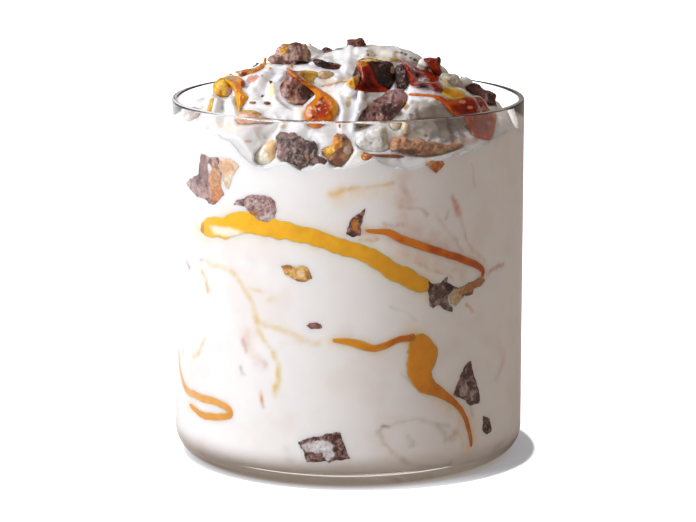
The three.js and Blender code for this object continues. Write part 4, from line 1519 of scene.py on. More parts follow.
@dataclass
class MoundTop:
    """The mound of ice cream, with its lumps, folds and torn edge."""

    voxel: float = 0.38
    grid: float = 0.7
    skirt: float = 4.0  # how far it goes down inside the filling
    leaning: float = 3.2  # how much higher it lies against the glass at the front left
    leaning_at: tuple[float, float] = (-35.5, 6.0)  # azimuth of that place, and how far it spreads
    hidden: float = 71.0  # height of its underside, inside the filling
    # painted shade: the same ice cream as the filling, painted greyer so that its upward faces, which the
    # lamps light more, don't show brighter
    colour: str = "#E6E4E2"
    dollops: tuple[Dollop, ...] = DOLLOPS
    creases: tuple[Crease, ...] = CREASES

    def slab(self) -> Form:
        """The plain mound as a closed body."""
        edge = VESSEL.fill - 0.12
        radii = np.linspace(edge, 0, int(edge / self.grid) + 1)[:-1]
        azimuth = np.arange(0, 360, self.grid * 1.6 / MM_PER_DEGREE)
        angle = np.radians(azimuth)
        middle, spread = self.leaning_at
        off = (azimuth - 360 - middle) / spread
        under = np.full(len(angle), self.hidden)
        rings = [np.stack([edge * np.sin(angle), -edge * np.cos(angle), under], -1)]
        for radius in radii:
            x, y = radius * np.sin(angle), -radius * np.cos(angle)
            place = np.column_stack([x, y, 0 * x])
            swell = 0.5 * ripple(place, 9, 31) + 0.35 * ripple(place, 4, 32) - 0.35
            swell = swell * fade(np.full(len(x), radius), 43, 36)
            near = np.exp(-(off**2)) * fade(np.full(len(x), radius), 33, 41)
            rings.append(np.stack([x, y, MOUND.height(x, y) + swell + self.leaning * near], -1))
        points, faces = loft(np.array(rings))
        return facing_out(Form.of(points, faces))

    def build(self, finish: Material) -> Form:
        """Build the mound.

        Args:
            finish: Its material.

        Returns:
            A copy of its shape, for what lies on it.
        """
        lumps = [dollop.form() for dollop in self.dollops]
        form = self.slab().joined(lumps).remeshed(self.voxel, self.colour)
        form.relax(4)
        self.fold(form)
        form.relax(1)
        self.make_room(form)
        points = form.points
        reach = np.hypot(points[:, 0], points[:, 1])
        limit = np.minimum(1, (VESSEL.fill - 0.1) / np.maximum(reach, 1e-6))
        points[:, :2] *= limit[:, None]
        form.points = points
        self.cut_below(form)
        self.paint(form)
        copy = Form(form.mesh.copy())
        form.shown("ice_cream_mound", finish, "ice_cream", ("ice_cream",))
        return copy

    def fold(self, form: Form) -> None:
        """Raise the ridges and press in the furrows."""
        points = form.points
        free = fade(np.hypot(points[:, 0], points[:, 1]), 42.4, 40) * fade(points[:, 2], 74, 78)
        drift = np.column_stack([ripple(points, 8, 44), ripple(points, 8, 45), ripple(points, 8, 46)])
        bent = points + 1.6 * drift
        torn = 1 - 2 * np.abs(ripple(bent, 6.5, 41, 2))
        waves = 0.4 * torn * np.abs(torn) + 0.2 * ripple(bent, 2.6, 42, 2) + 0.05 * ripple(points, 0.9, 43, 2)
        seen = VIEW.seen(points)
        front = in_front(points)
        for crease in self.creases:
            off = line_distance(spline(crease.route, 1.5), seen + 0.9 * drift[:, :2], 2 * crease.width)
            waves = waves + crease.height * front * np.exp(-((off / (0.5 * crease.width)) ** 2))
        form.push(free * waves)

    def make_room(self, form: Form) -> None:
        """Press the mound back behind each piece that is placed by where it shows."""
        points = form.points
        seen = VIEW.seen(points)
        for piece in TOPPINGS:
            if not piece.outline or not piece.bare:
                continue
            plane, deep = lie(piece.node)
            outline = np.array(piece.outline)
            around = (seen > outline.min(0) - 1) & (seen < outline.max(0) + 1)
            near = np.flatnonzero(np.all(around, axis=1) & (points[:, 1] < 0.66 * VESSEL.inner))
            limit = seen[near] @ plane[:2] + plane[2] - 0.12 * deep
            inside = outline_distance(outline, seen[near])[0]
            ways = VIEW.way(seen[near])
            back = np.maximum(limit - points[near, 1], 0) / ways[:, 1] * fade(inside, -0.5, 2)
            points[near] += ways * back[:, None]
        form.points = points

    def cut_below(self, form: Form) -> None:
        """Close the mound just below its lowest edge, inside the filling."""
        work = opened(form.mesh)
        level = min(height for _, height in MOUND.contact) - self.skirt
        everything = [*work.verts, *work.edges, *work.faces]
        bmesh.ops.bisect_plane(
            work, geom=everything, plane_co=(0, 0, level), plane_no=(0, 0, 1), clear_inner=True
        )
        rim = [edge for edge in work.edges if edge.is_boundary]
        bmesh.ops.holes_fill(work, edges=rim, sides=0)
        bmesh.ops.triangulate(work, faces=[face for face in work.faces if len(face.verts) > 4])
        bmesh.ops.recalc_face_normals(work, faces=work.faces)
        written(work, form.mesh)
        form.repaint(self.colour)

    def paint(self, form: Form) -> None:
        """Paint the smears of sauce blended into the mound, its specks, and the painted shade on its scoop
        and right slope.
        """
        points = form.points
        smear = ripple(points, 7, 51) + 0.4 * ripple(points, 2.4, 52)
        form.tint("#E8D8BE", 0.4 * fade(smear, 0.3, 0.8))
        form.tint("#DFC08C", 0.5 * fade(smear, 0.62, 0.95))
        seen = VIEW.seen(points)
        front = in_front(points)
        rough = ripple(points, 1.4, 54)
        for dab in MOUND_DABS:
            form.tint(dab.colour, front * dab.weight(seen[:, 0], seen[:, 1], rough))
        form.wet = fade(ripple(points, 6, 53), 0.1, 0.6)


# ------------------------------------------------------------------ broken pieces


class Stuff(Enum):
    """What a broken piece is made of, as the record's material slots name it."""

    FROSTED = "frosted_chocolate"
    MILK = "milk_chocolate"
    DARK = "dark_chocolate"
    CHEWY = "caramel_nougat"
    NOUGAT = "nougat"
    PEANUT = "peanut"
    AMBER = "amber_caramel"
    RED = "red_caramel"


CHOCOLATES = (Stuff.FROSTED, Stuff.MILK)
FROST = ("#7A524C", "#BC9C96")
MILK = ("#4A2420", "#8E5F56")
DARK = ("#26100E", "#54302A")
NOUGAT = ("#D8B48A", "#F0DCBA")
PEANUT = ("#C48E52", "#E8C890")
AMBER = ("#D0800E", "#F2BA34")


@dataclass(frozen=True)
class Broken:
    """A broken piece.

    Attributes:
        node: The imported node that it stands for.
        stuff: What it is made of.
        tones: Its dark and its light colour.
        dabs: Patches of other colours.
        outline: Its outline on the glass, as azimuths and heights, or else the pixels round it.
        depth: How far a piece against the wall runs into the ice cream.
        rough: Height of its bumps, in mm.
        wet: How wet it is all over.
        bare: Whether the mound leaves all of its outline bare.
    """

    node: str
    stuff: Stuff
    tones: tuple[str, str]
    dabs: tuple[Dab, ...] = ()
    outline: tuple[tuple[float, float], ...] = ()
    depth: float = 3.4
    rough: float = 0.5
    wet: float = 0.0
    bare: bool = True


WALL_PIECES = (
    Broken("wall_chunk_left", Stuff.FROSTED, ("#8A6560", "#C4A09A"), (
        # painted shade in a hollow of the piece
        Dab(-57, 74.6, (2.6, 3.0), "#5A3634", 0.8),
        Dab(-53, 75.6, (1.9, 3.2), "#9C7C78", 0.8),
        Dab(-47.6, 73, (2.4, 4.6), "#E3A878", 0.85),
        Dab(-47, 69.4, (2.4, 2.4), "#DC8E50", 0.75),
        # a painted highlight
        Dab(-50.4, 76.2, (0.7, 1.3), "#F7F2F0", 1.0),
        Dab(-54, 70.2, (4.6, 1.3), "#C29B92", 0.7),
        Dab(-46.8, 67.6, (1.6, 1.0), "#8A6A68", 0.9),
    ), (
        (-55.3, 79.5), (-52.6, 79.3), (-51, 78.9), (-46.1, 79.4), (-45.2, 78.6), (-46.1, 77.1),
        (-44.4, 75.7), (-44.8, 72.7), (-43.4, 70.4), (-45.7, 68.6), (-48.7, 67.3), (-51.2, 67.6),
        (-52.5, 68.4), (-57.5, 68.4), (-62.4, 69.7), (-65.7, 70.8), (-62.7, 72.3), (-56.6, 74),
        (-56.5, 75.7), (-55.6, 77.6),
    ), 4.5),
    Broken("wall_nougat_left", Stuff.NOUGAT, ("#EAC7A2", "#F4E2CC"), (
        Dab(-42.6, 77.4, (2.6, 1.6), "#E7B48C", 0.8),
        Dab(-40.5, 73.4, (1.2, 1.8), "#EFE3BE", 0.7),
    ), (
        (-45, 79.5), (-40.2, 79.3), (-36.7, 77.9), (-38.4, 76.5), (-40, 74.6), (-41.3, 71.8),
        (-42.9, 72.3), (-44.4, 74.2), (-44.3, 75.7), (-45.6, 77.2),
    )),
    Broken("wall_bean_mauve", Stuff.FROSTED, ("#A8827E", "#D6B8B2"), (
        Dab(-26, 66, (2.4, 0.9), "#D8C3BE", 0.8),
        Dab(-33, 66.8, (3.0, 0.7), "#B97A3E", 0.8),
    ), (
        (-39.8, 68.5), (-37.8, 69.6), (-34.8, 70.4), (-32, 71.4), (-28, 71.5), (-25, 71.2), (-23.7, 70.1),
        (-23.1, 68.1), (-23.7, 66.3), (-26.3, 65), (-28.5, 65), (-31.2, 65.8), (-33.5, 67.1),
        (-34.9, 68.2), (-37.5, 68.2),
    )),
    Broken("wall_shard_upper", Stuff.MILK, ("#6E3A32", "#B0786A"), (
        Dab(2.2, 65.3, (0.8, 1.5), "#D98A2C", 0.9),
        Dab(1.0, 62.9, (1.6, 0.6), "#4A2624", 0.8),
    ), (
        (5.8, 69.6), (4.9, 67.2), (4.3, 64.9), (3.9, 62.6), (1.6, 62.3), (-0.7, 62.9), (-0.3, 64.3),
        (0.9, 66.4), (2.4, 67.7), (4.1, 68.4),
    )),
    Broken("wall_star_chunk", Stuff.DARK, ("#6A5048", "#AE958C"), (
        Dab(34.6, 49, (1.6, 1.3), "#1E100E", 0.9),
        Dab(27.2, 50, (0.9, 1.3), "#5E2A24", 0.8),
    ), (
        (26.2, 51), (28.4, 49.8), (30.9, 50), (33.9, 51.6), (33.6, 50), (36.3, 48.7), (38.3, 48.2),
        (35.6, 47.6), (33.9, 46.5), (33.7, 44.8), (35.7, 43.4), (35.6, 42.3), (32.3, 43.1), (30.9, 44.2),
        (29.1, 44.4), (28, 44), (26.7, 44.7), (26.7, 46.8), (26.1, 48.3),
    )),
    Broken("wall_nut_right", Stuff.PEANUT, ("#B98A62", "#D8B48E"), (
        Dab(45.6, 47.9, (4.2, 1.8), "#BE7E50", 0.9),
        Dab(42, 46, (2.4, 0.5), "#6E4A2E", 0.8),
        Dab(36, 46.2, (1.7, 1.7), "#DCC3A0", 0.8),
    ), (
        (34.2, 47), (35.8, 47.9), (38.3, 48.1), (42.2, 48.9), (46.1, 49.5), (49.3, 50), (50.3, 48.4),
        (48.2, 47.4), (45, 47.2), (44.1, 45.8), (41.2, 45.7), (39.1, 46), (38.3, 44.3), (37.1, 43.8),
        (34.6, 44.4),
    )),
    Broken("wall_nut_left", Stuff.PEANUT, ("#D08E3C", "#EFC078"), (
        Dab(-15, 53.1, (1.1, 1.0), "#F3D4A4", 0.9),
        Dab(-19.6, 54.6, (1.8, 0.7), "#A8743C", 0.8),
        Dab(-12.2, 53, (0.8, 1.2), "#9A7440", 0.7),
        Dab(-15.2, 51.4, (1.4, 0.5), "#A06A2C", 0.8),
    ), (
        (-22.1, 54.6), (-19.2, 55.1), (-16.8, 54.6), (-14.8, 55.3), (-12.8, 54.8), (-12.1, 53.5),
        (-11.3, 52.3), (-13.1, 51.2), (-15.6, 51), (-18, 51.8), (-20.1, 52.5), (-21.3, 53.7),
    )),
    Broken("wall_bean_small", Stuff.DARK, ("#96605A", "#B4827A"), (), (
        (-13.7, 40.6), (-12.3, 41.2), (-10.1, 41.3), (-8.6, 40.9), (-8, 40.2), (-9.8, 39.8), (-12.1, 39.8),
    ), 2),
    Broken("wall_chunk_bottom", Stuff.MILK, ("#5C3A34", "#A28078"), (
        Dab(-9.4, 10.8, (2.9, 1.5), "#EDE8E8", 0.95),
        Dab(-6.2, 9.6, (1.3, 2.4), "#E9E4E4", 0.95),
        Dab(-13, 10.6, (1.6, 1.1), "#DCD2D0", 0.85),
        Dab(-3.4, 13.5, (1.2, 0.6), "#4A1E16", 0.9),
    ), (
        (-16.3, 12), (-10.4, 13.3), (-4, 14.8), (-2.1, 14.3), (-1.7, 12.3), (-0.6, 10), (0.8, 7.9),
        (-2.8, 7.5), (-5.9, 7), (-13.5, 6.7), (-14.2, 8.4), (-15.1, 10.1),
    ), 3.4, 0.8),
    Broken("wall_shard_right", Stuff.FROSTED, ("#5E3E40", "#9C7C78"), (
        Dab(40.8, 22.4, (1.6, 1.5), "#CBB8A4", 0.85),
        Dab(44.8, 20.6, (1.3, 1.4), "#CFC4BC", 0.8),
        Dab(43.6, 28, (1.3, 2.0), "#6A3C40", 0.8),
        Dab(46.6, 19.6, (1.6, 1.3), "#4E2624", 0.8),
    ), (
        (43.6, 29.6), (44.6, 26.5), (46.5, 23.7), (48.1, 20.2), (48.1, 18.2), (42.9, 18.2), (40.6, 20),
        (36, 21.5), (36.8, 23.4), (38.4, 25.2), (40.1, 28),
    )),
    Broken("wall_chip_right", Stuff.MILK, ("#42241F", "#6E493E"), (), (
        (49.8, 15), (53.7, 13.3), (54.9, 10.2), (51.8, 9.4), (49.3, 11.3), (49.6, 13.1),
    ), 2.4),
    Broken("wall_caramel_bit", Stuff.CHEWY, ("#C9662A", "#DE9A66"), (
        Dab(25.6, 79, (1.6, 0.6), "#E3B796", 0.8),
    ), (
        (24.7, 79.3), (27.5, 79.8), (31.5, 79.7), (32.3, 78.7), (30.6, 77.6), (28.8, 76.5), (27.1, 77.7),
    ), 2.4),
    Broken("wall_back_chunk_1", Stuff.MILK, MILK),
    Broken("wall_back_chunk_2", Stuff.FROSTED, FROST),
    Broken("wall_back_chunk_3", Stuff.DARK, DARK),
    Broken("wall_back_chunk_4", Stuff.MILK, MILK),
    Broken("wall_back_nut", Stuff.PEANUT, PEANUT),
)

TOPPINGS = (
    Broken("chunk_peak", Stuff.MILK, ("#66281E", "#8E4A3C"), (), (
        (347.6, 39.7), (348, 45), (349, 51), (357, 52), (364, 51), (366.3, 44.2), (361.8, 38.4),
        (355.3, 38.9),
    ), bare=False),
    Broken("chunk_top_left", Stuff.MILK, ("#9A6A60", "#E0B8AC"), (
        Dab(300, 60, (6, 4), "#7A4234", 0.9), Dab(290, 57, (8, 4.5), "#F0C6B8", 0.85),
        Dab(305.5, 52, (2.8, 9), "#CDA080", 0.9), Dab(295, 43.8, (7, 2.6), "#6E3A34", 0.9),
        Dab(303, 63.4, (8, 2.6), "#3A1614"), Dab(272, 60, (5, 3), "#C9A092", 0.8),
        Dab(283.6, 51.5, (4.2, 4), "#DC9A22", 1, 1), Dab(286, 46, (4, 1.6), "#C99030", 1, 0.8),
    ), (
        (266.5, 60), (270, 56.5), (276, 54), (278, 48.5), (283, 46), (288, 44), (293.5, 43), (299.3, 42.3),
        (302, 44.2), (306.3, 44.8), (307.6, 49), (310.4, 55.5), (309.3, 64.6), (300, 65.4), (286.5, 65.6),
        (277, 64.4), (270, 63.4),
    )),
    Broken("chunk_dark_flat", Stuff.DARK, ("#2A0A0A", "#4E1A14"), (
        Dab(336, 66, (5, 3), "#6E2A1C", 0.8, 1),
    ), (
        (312, 61.3), (315.3, 58.9), (322.7, 59.7), (328.4, 62.9), (341.4, 63.8), (340.6, 68.7),
        (335.7, 70.7), (326.7, 69.5), (320.2, 67.8), (314.5, 64.6),
    ), rough=0.3, wet=0.8),
    Broken("chunk_dark_centre", Stuff.MILK, ("#8A4E40", "#BE8A78"), (
        Dab(290, 103.5, (7, 4), "#E2C69A"), Dab(284.3, 93, (2.4, 5), "#C7A8A0"),
        # the first dab here is a painted shadow in the notch at the piece's left edge
        Dab(281.8, 84.5, (1.8, 2.2), "#180A08"), Dab(306, 92, (6, 8), "#3A100A", 0.9, 1),
        Dab(313, 90, (4, 4), "#6E240C", 0.9, 1), Dab(290, 74, (4, 3), "#9C6A60", 0.8),
    ), (
        (286.5, 69), (291, 70), (296, 75), (302, 80), (309, 86), (316, 91), (316, 94), (309, 101),
        (303.5, 107), (296, 106.5), (289.5, 104), (285, 99), (281.5, 92.5), (281.3, 84.5), (284.5, 83.5),
        (287.5, 80), (287.5, 74),
    ), rough=0.7),
    Broken("nut_behind_centre", Stuff.PEANUT, ("#C9A070", "#DDC29C"), (), (
        (316, 74), (320, 71.5), (327, 71), (334, 72.5), (336, 75), (331, 78.5), (326, 80.5), (320, 79.5),
        (317, 77),
    ), rough=0.2, wet=0.6),
    Broken("chunk_coated", Stuff.DARK, ("#2E160E", "#54291E"), (
        Dab(363, 80, (8, 9), "#4E2A20", 0.8, 0.5), Dab(384, 78, (8, 9), "#1C120C", 0.9, 1),
        Dab(393, 70, (2.8, 4), "#C8A888"), Dab(362, 65, (6, 4), "#A8601A", 1, 1),
    ), (
        (357, 61), (366, 59), (380, 60), (391, 62.5), (395.5, 70), (395, 82), (391, 90), (380, 93),
        (366, 92.5), (356, 89), (354, 78),
    ), rough=0.5, wet=0.9),
    Broken("chunk_brown_grey", Stuff.FROSTED, ("#3E2C2A", "#64524D"), (
        # a painted highlight down the piece's lit left edge
        Dab(396, 77, (1.8, 10), "#857469", 0.9),
    ), (
        (394.5, 70), (397, 64.5), (404, 63.8), (409.5, 68), (410.8, 80), (408, 90), (401, 92.3),
        (395.5, 88),
    ), rough=0.5),
    Broken("chunk_mauve", Stuff.FROSTED, ("#7A4C45", "#A8766C"), (
        # the second dab is a painted highlight along the piece's top
        Dab(400, 93.5, (8, 5), "#A87E80", 0.85), Dab(372, 104, (9, 2.4), "#D2A69C", 0.85),
        Dab(389, 110, (9, 6), "#42201C", 0.9), Dab(361, 116, (3, 5), "#CFA098", 0.8),
        # the first dab paints the golden crisp underside far paler than it is, as painted light where the
        # piece's overhang shades it
        Dab(367, 127, (15, 5.8), "#FFD898", 0.95), Dab(386, 122.5, (6, 2), "#A87838", 0.9),
        Dab(372.3, 124.7, (1.9, 1.6), "#5A3018"), Dab(364.2, 115.7, (1.7, 1.4), "#341A10", 0.9),
        Dab(374.8, 114, (1.9, 1.5), "#341A10", 0.9), Dab(360, 130, (1.8, 1.2), "#4A2812", 0.9),
    ), (
        (402.7, 88.2), (393, 90.5), (386.3, 92.5), (378.2, 99.5), (373, 102), (362.5, 110), (358.4, 116.5),
        (354.5, 124.5), (354.8, 132), (360, 132), (365.8, 131.2), (376.4, 127.5), (384, 124.5),
        (390.5, 123), (394, 118.5), (397, 113.2), (404, 108), (408.5, 101), (409.4, 95.5), (406.5, 91.5),
    ), rough=0.45),
    Broken("nougat_white", Stuff.NOUGAT, ("#EDEAE2", "#F8F6F1"), (
        # painted shade: grey-green shade down the piece's right side and in a dimple
        Dab(384.6, 138, (3, 9), "#C2BC9E", 0.8), Dab(370.7, 142.6, (2, 1.8), "#A89E88", 0.8),
    ), (
        (356.8, 132.8), (366, 131.5), (376.4, 128.7), (381.3, 126.3), (386, 128), (387.8, 141),
        (391, 148.3), (384.6, 152.4), (365.8, 152.4), (357.6, 148.3), (354.4, 142.6),
    ), rough=0.25, wet=0.2),
    Broken("nut_upper", Stuff.PEANUT, ("#CDC2A6", "#E2DAC6"), (), (
        (388.7, 126), (390, 121.5), (395, 119.8), (400, 122), (401.7, 127), (399, 131.5), (394, 132.8),
        (390, 130.5),
    ), rough=0.15, wet=0.4),
    Broken("nut_lower", Stuff.PEANUT, ("#D8C090", "#EEDDBE"), (), (
        (400.6, 131), (401.8, 126.5), (405, 123.8), (408.6, 126), (409.6, 131), (407, 135.4), (403, 136),
    ), rough=0.15, wet=0.3),
    Broken("chunk_wide_brown", Stuff.CHEWY, ("#AC7650", "#DAA278"), (
        Dab(417, 139.4, (9, 2.6), "#C9A078", 0.9), Dab(440, 150.5, (11, 3), "#C79A6E", 0.9),
        # the first dab is painted shade on the piece's underside
        Dab(407, 151.5, (14, 3), "#6E3C1E", 0.95), Dab(396, 139.4, (4, 2.4), "#B88A5E", 0.8),
        Dab(430, 144.6, (8, 2), "#B07A58", 0.8), Dab(458, 145.5, (5, 2), "#A87C62", 0.8),
    ), (
        (390, 141), (393, 137.5), (400, 136), (405, 139), (417, 137.7), (424.3, 140.2), (435.7, 141.8),
        (447.1, 145), (454.5, 142.6), (461.8, 143.4), (464.3, 145), (459.4, 148.3), (449.6, 152.4),
        (440, 155.5), (425, 157.5), (410, 156), (398, 154), (390, 150),
    ), rough=0.5),
    Broken("nut_front_left", Stuff.NOUGAT, ("#EBE0C6", "#F4EEDD"), (
        Dab(272, 150, (6, 11), "#E8B870", 0.85),
    ), (
        (254.5, 159), (255.3, 152.5), (262, 146), (269, 140.5), (278, 138.5), (280, 142), (277.5, 150),
        (277, 158), (272, 163), (264.3, 166.5), (257.8, 164.5), (254.5, 161),
    ), rough=0.2),
    Broken("chunk_front_dark", Stuff.MILK, ("#44241D", "#90685C"), (
        Dab(312.6, 156, (1.7, 3), "#E8C8A8"), Dab(308.6, 161, (1.7, 3), "#E8C8A8"),
        Dab(304.8, 165.4, (1.8, 2), "#E0BC98"),
        Dab(306.8, 155.8, (2, 1.7), "#C87A3C", 1, 0.6), Dab(313.3, 147.6, (4, 3), "#3A201E", 0.9),
        Dab(290, 136, (9, 2.4), "#A37E74", 0.8), Dab(300, 145, (5, 4), "#50302A", 0.8),
        Dab(279.5, 150, (2.4, 7), "#C0998C", 0.7), Dab(298, 168, (3, 2.4), "#6E4A40", 0.8),
    ), (
        (279, 134.5), (283, 132.5), (293.7, 133.7), (301, 137), (308.4, 141), (315.8, 145.1),
        (317.4, 149.2), (318.2, 155), (313, 161), (307.6, 167), (301.9, 169.7), (300, 172.9),
        (298.6, 168.8), (293.7, 164.7), (283, 162.3), (277, 158), (276.6, 150), (277, 142),
    ), rough=0.8),
    Broken("chunk_front_nut", Stuff.AMBER, ("#8A5434", "#B98654"), (
        Dab(334, 143, (8, 6.5), "#D88A14", 0.95, 1), Dab(330, 150, (6, 4), "#EDB63C", 0.95, 1),
        Dab(347, 138.6, (6, 2.2), "#5A3018", 0.9), Dab(347.5, 149.5, (4, 5), "#D8B8A4", 0.9),
        Dab(352.5, 149.5, (1.6, 2.6), "#8A3E16"), Dab(337, 162.5, (9, 4.6), "#7E4A38", 0.95),
        Dab(326, 154.6, (4, 2), "#C77E22", 0.9, 1),
    ), (
        (337, 132.9), (344.3, 135.3), (351.7, 140.2), (352.5, 144.3), (355, 149.2), (354.1, 152.5),
        (350, 159), (343.5, 167.2), (338.6, 168.8), (334.5, 167.2), (329.6, 164.7), (326.4, 158.2),
        (321.5, 155), (320.7, 148.4), (324.7, 146), (332, 144.3), (333.7, 138.6),
    ), rough=0.5),
    Broken("chunk_front_small", Stuff.DARK, ("#3E1E1A", "#6E423A"), (
        Dab(321.5, 160, (3, 2), "#8A3A1E", 0.9, 1),
    ), (
        (306.8, 161), (311, 156.5), (318, 155), (325, 156.5), (329.6, 160.5), (326, 165), (318, 166.4),
        (311, 165.8),
    ), rough=0.4),
    Broken("slab_left", Stuff.CHEWY, ("#E2A682", "#EEC0A0"), (
        Dab(245, 118, (6, 4), "#F0D2C0", 0.8, 0.6), Dab(270, 123, (7, 3), "#CDA272", 0.9, 0.7),
        Dab(272.5, 126.3, (1.5, 1), "#5A3A2A"),
    ), (
        (234.9, 114.9), (241.4, 111.6), (253.6, 112.4), (261.8, 115.7), (278.1, 120.6), (275.7, 125.5),
        (270, 127.1), (260.2, 126.3), (249.6, 127.1), (239.8, 126.3), (234.9, 123),
    ), rough=0.25, wet=0.7),
    Broken("chunk_far_left", Stuff.FROSTED, ("#CBAA9E", "#E3CDC2"), (
        Dab(189.5, 110.8, (2.6, 1.8), "#6E4036", 0.9),
    ), (
        (180.5, 118), (183, 110.5), (189, 107), (197, 108), (202.5, 112.5), (203, 119), (198, 124),
        (189, 124.7), (183, 122.5),
    ), rough=0.5),
    Broken("amber_left", Stuff.AMBER, ("#CC8E20", "#E9B63C"), (
        # the first dab is a painted highlight
        Dab(221, 86, (5, 4), "#F3CC6E", 0.9, 1), Dab(229, 91.5, (3, 4), "#B08878", 0.9),
    ), (
        (213, 90), (214.5, 83), (219, 78.6), (225, 78), (231, 81), (234, 88), (233, 95), (228, 99),
        (219, 98.6), (214, 95.5),
    ), rough=0.4, wet=0.9),
    Broken("caramel_nub", Stuff.RED, ("#7A1E0A", "#A23410"), (Dab(439.2, 59.7, (1.9, 3.4), "#2A100C"),), (
        (422, 59.7), (426, 57.6), (432.7, 57.6), (436.7, 58.9), (439.2, 56.4), (440.8, 60.5),
        (440.4, 64.6), (440.8, 68.7), (444, 74.4), (443.3, 78.4), (439.2, 76.8), (432.7, 71.9),
        (428.6, 67.8), (427.8, 62.9),
    ), rough=0.2, wet=1),
    Broken("amber_right", Stuff.AMBER, ("#B8AE9C", "#D6CEBE"), (
        Dab(444, 83, (4.5, 4), "#DCA83A", 0.95, 1), Dab(450, 87.5, (7, 3), "#F4D49C", 0.9, 1),
    ), (
        (440, 80), (443, 73.6), (452, 74.4), (457, 76), (462, 81.7), (463.7, 86.6), (457, 88.5), (447, 87),
        (441, 85),
    ), rough=0.4, wet=0.7),
    Broken("chunk_dark_right", Stuff.DARK, ("#4E2822", "#804E42"), (
        Dab(486, 98, (1.8, 6), "#C79A8C", 0.85),
    ), (
        (462.9, 86.6), (467.8, 84.2), (473.5, 82.1), (480, 85.8), (486.5, 90.7), (495.1, 94),
        (495.1, 101.5), (498, 106.5), (488, 106.8), (484, 100), (480, 96.5), (472, 94.8), (465.5, 91.5),
    ), rough=0.5),
    Broken("chunk_back_1", Stuff.MILK, MILK), Broken("chunk_back_2", Stuff.FROSTED, FROST),
    Broken("chunk_back_3", Stuff.MILK, MILK), Broken("chunk_back_4", Stuff.DARK, DARK, wet=0.5),
    Broken("chunk_back_5", Stuff.FROSTED, FROST), Broken("nut_back_1", Stuff.PEANUT, PEANUT),
    Broken("nougat_back", Stuff.NOUGAT, NOUGAT), Broken("amber_back", Stuff.AMBER, AMBER, wet=0.8),
)


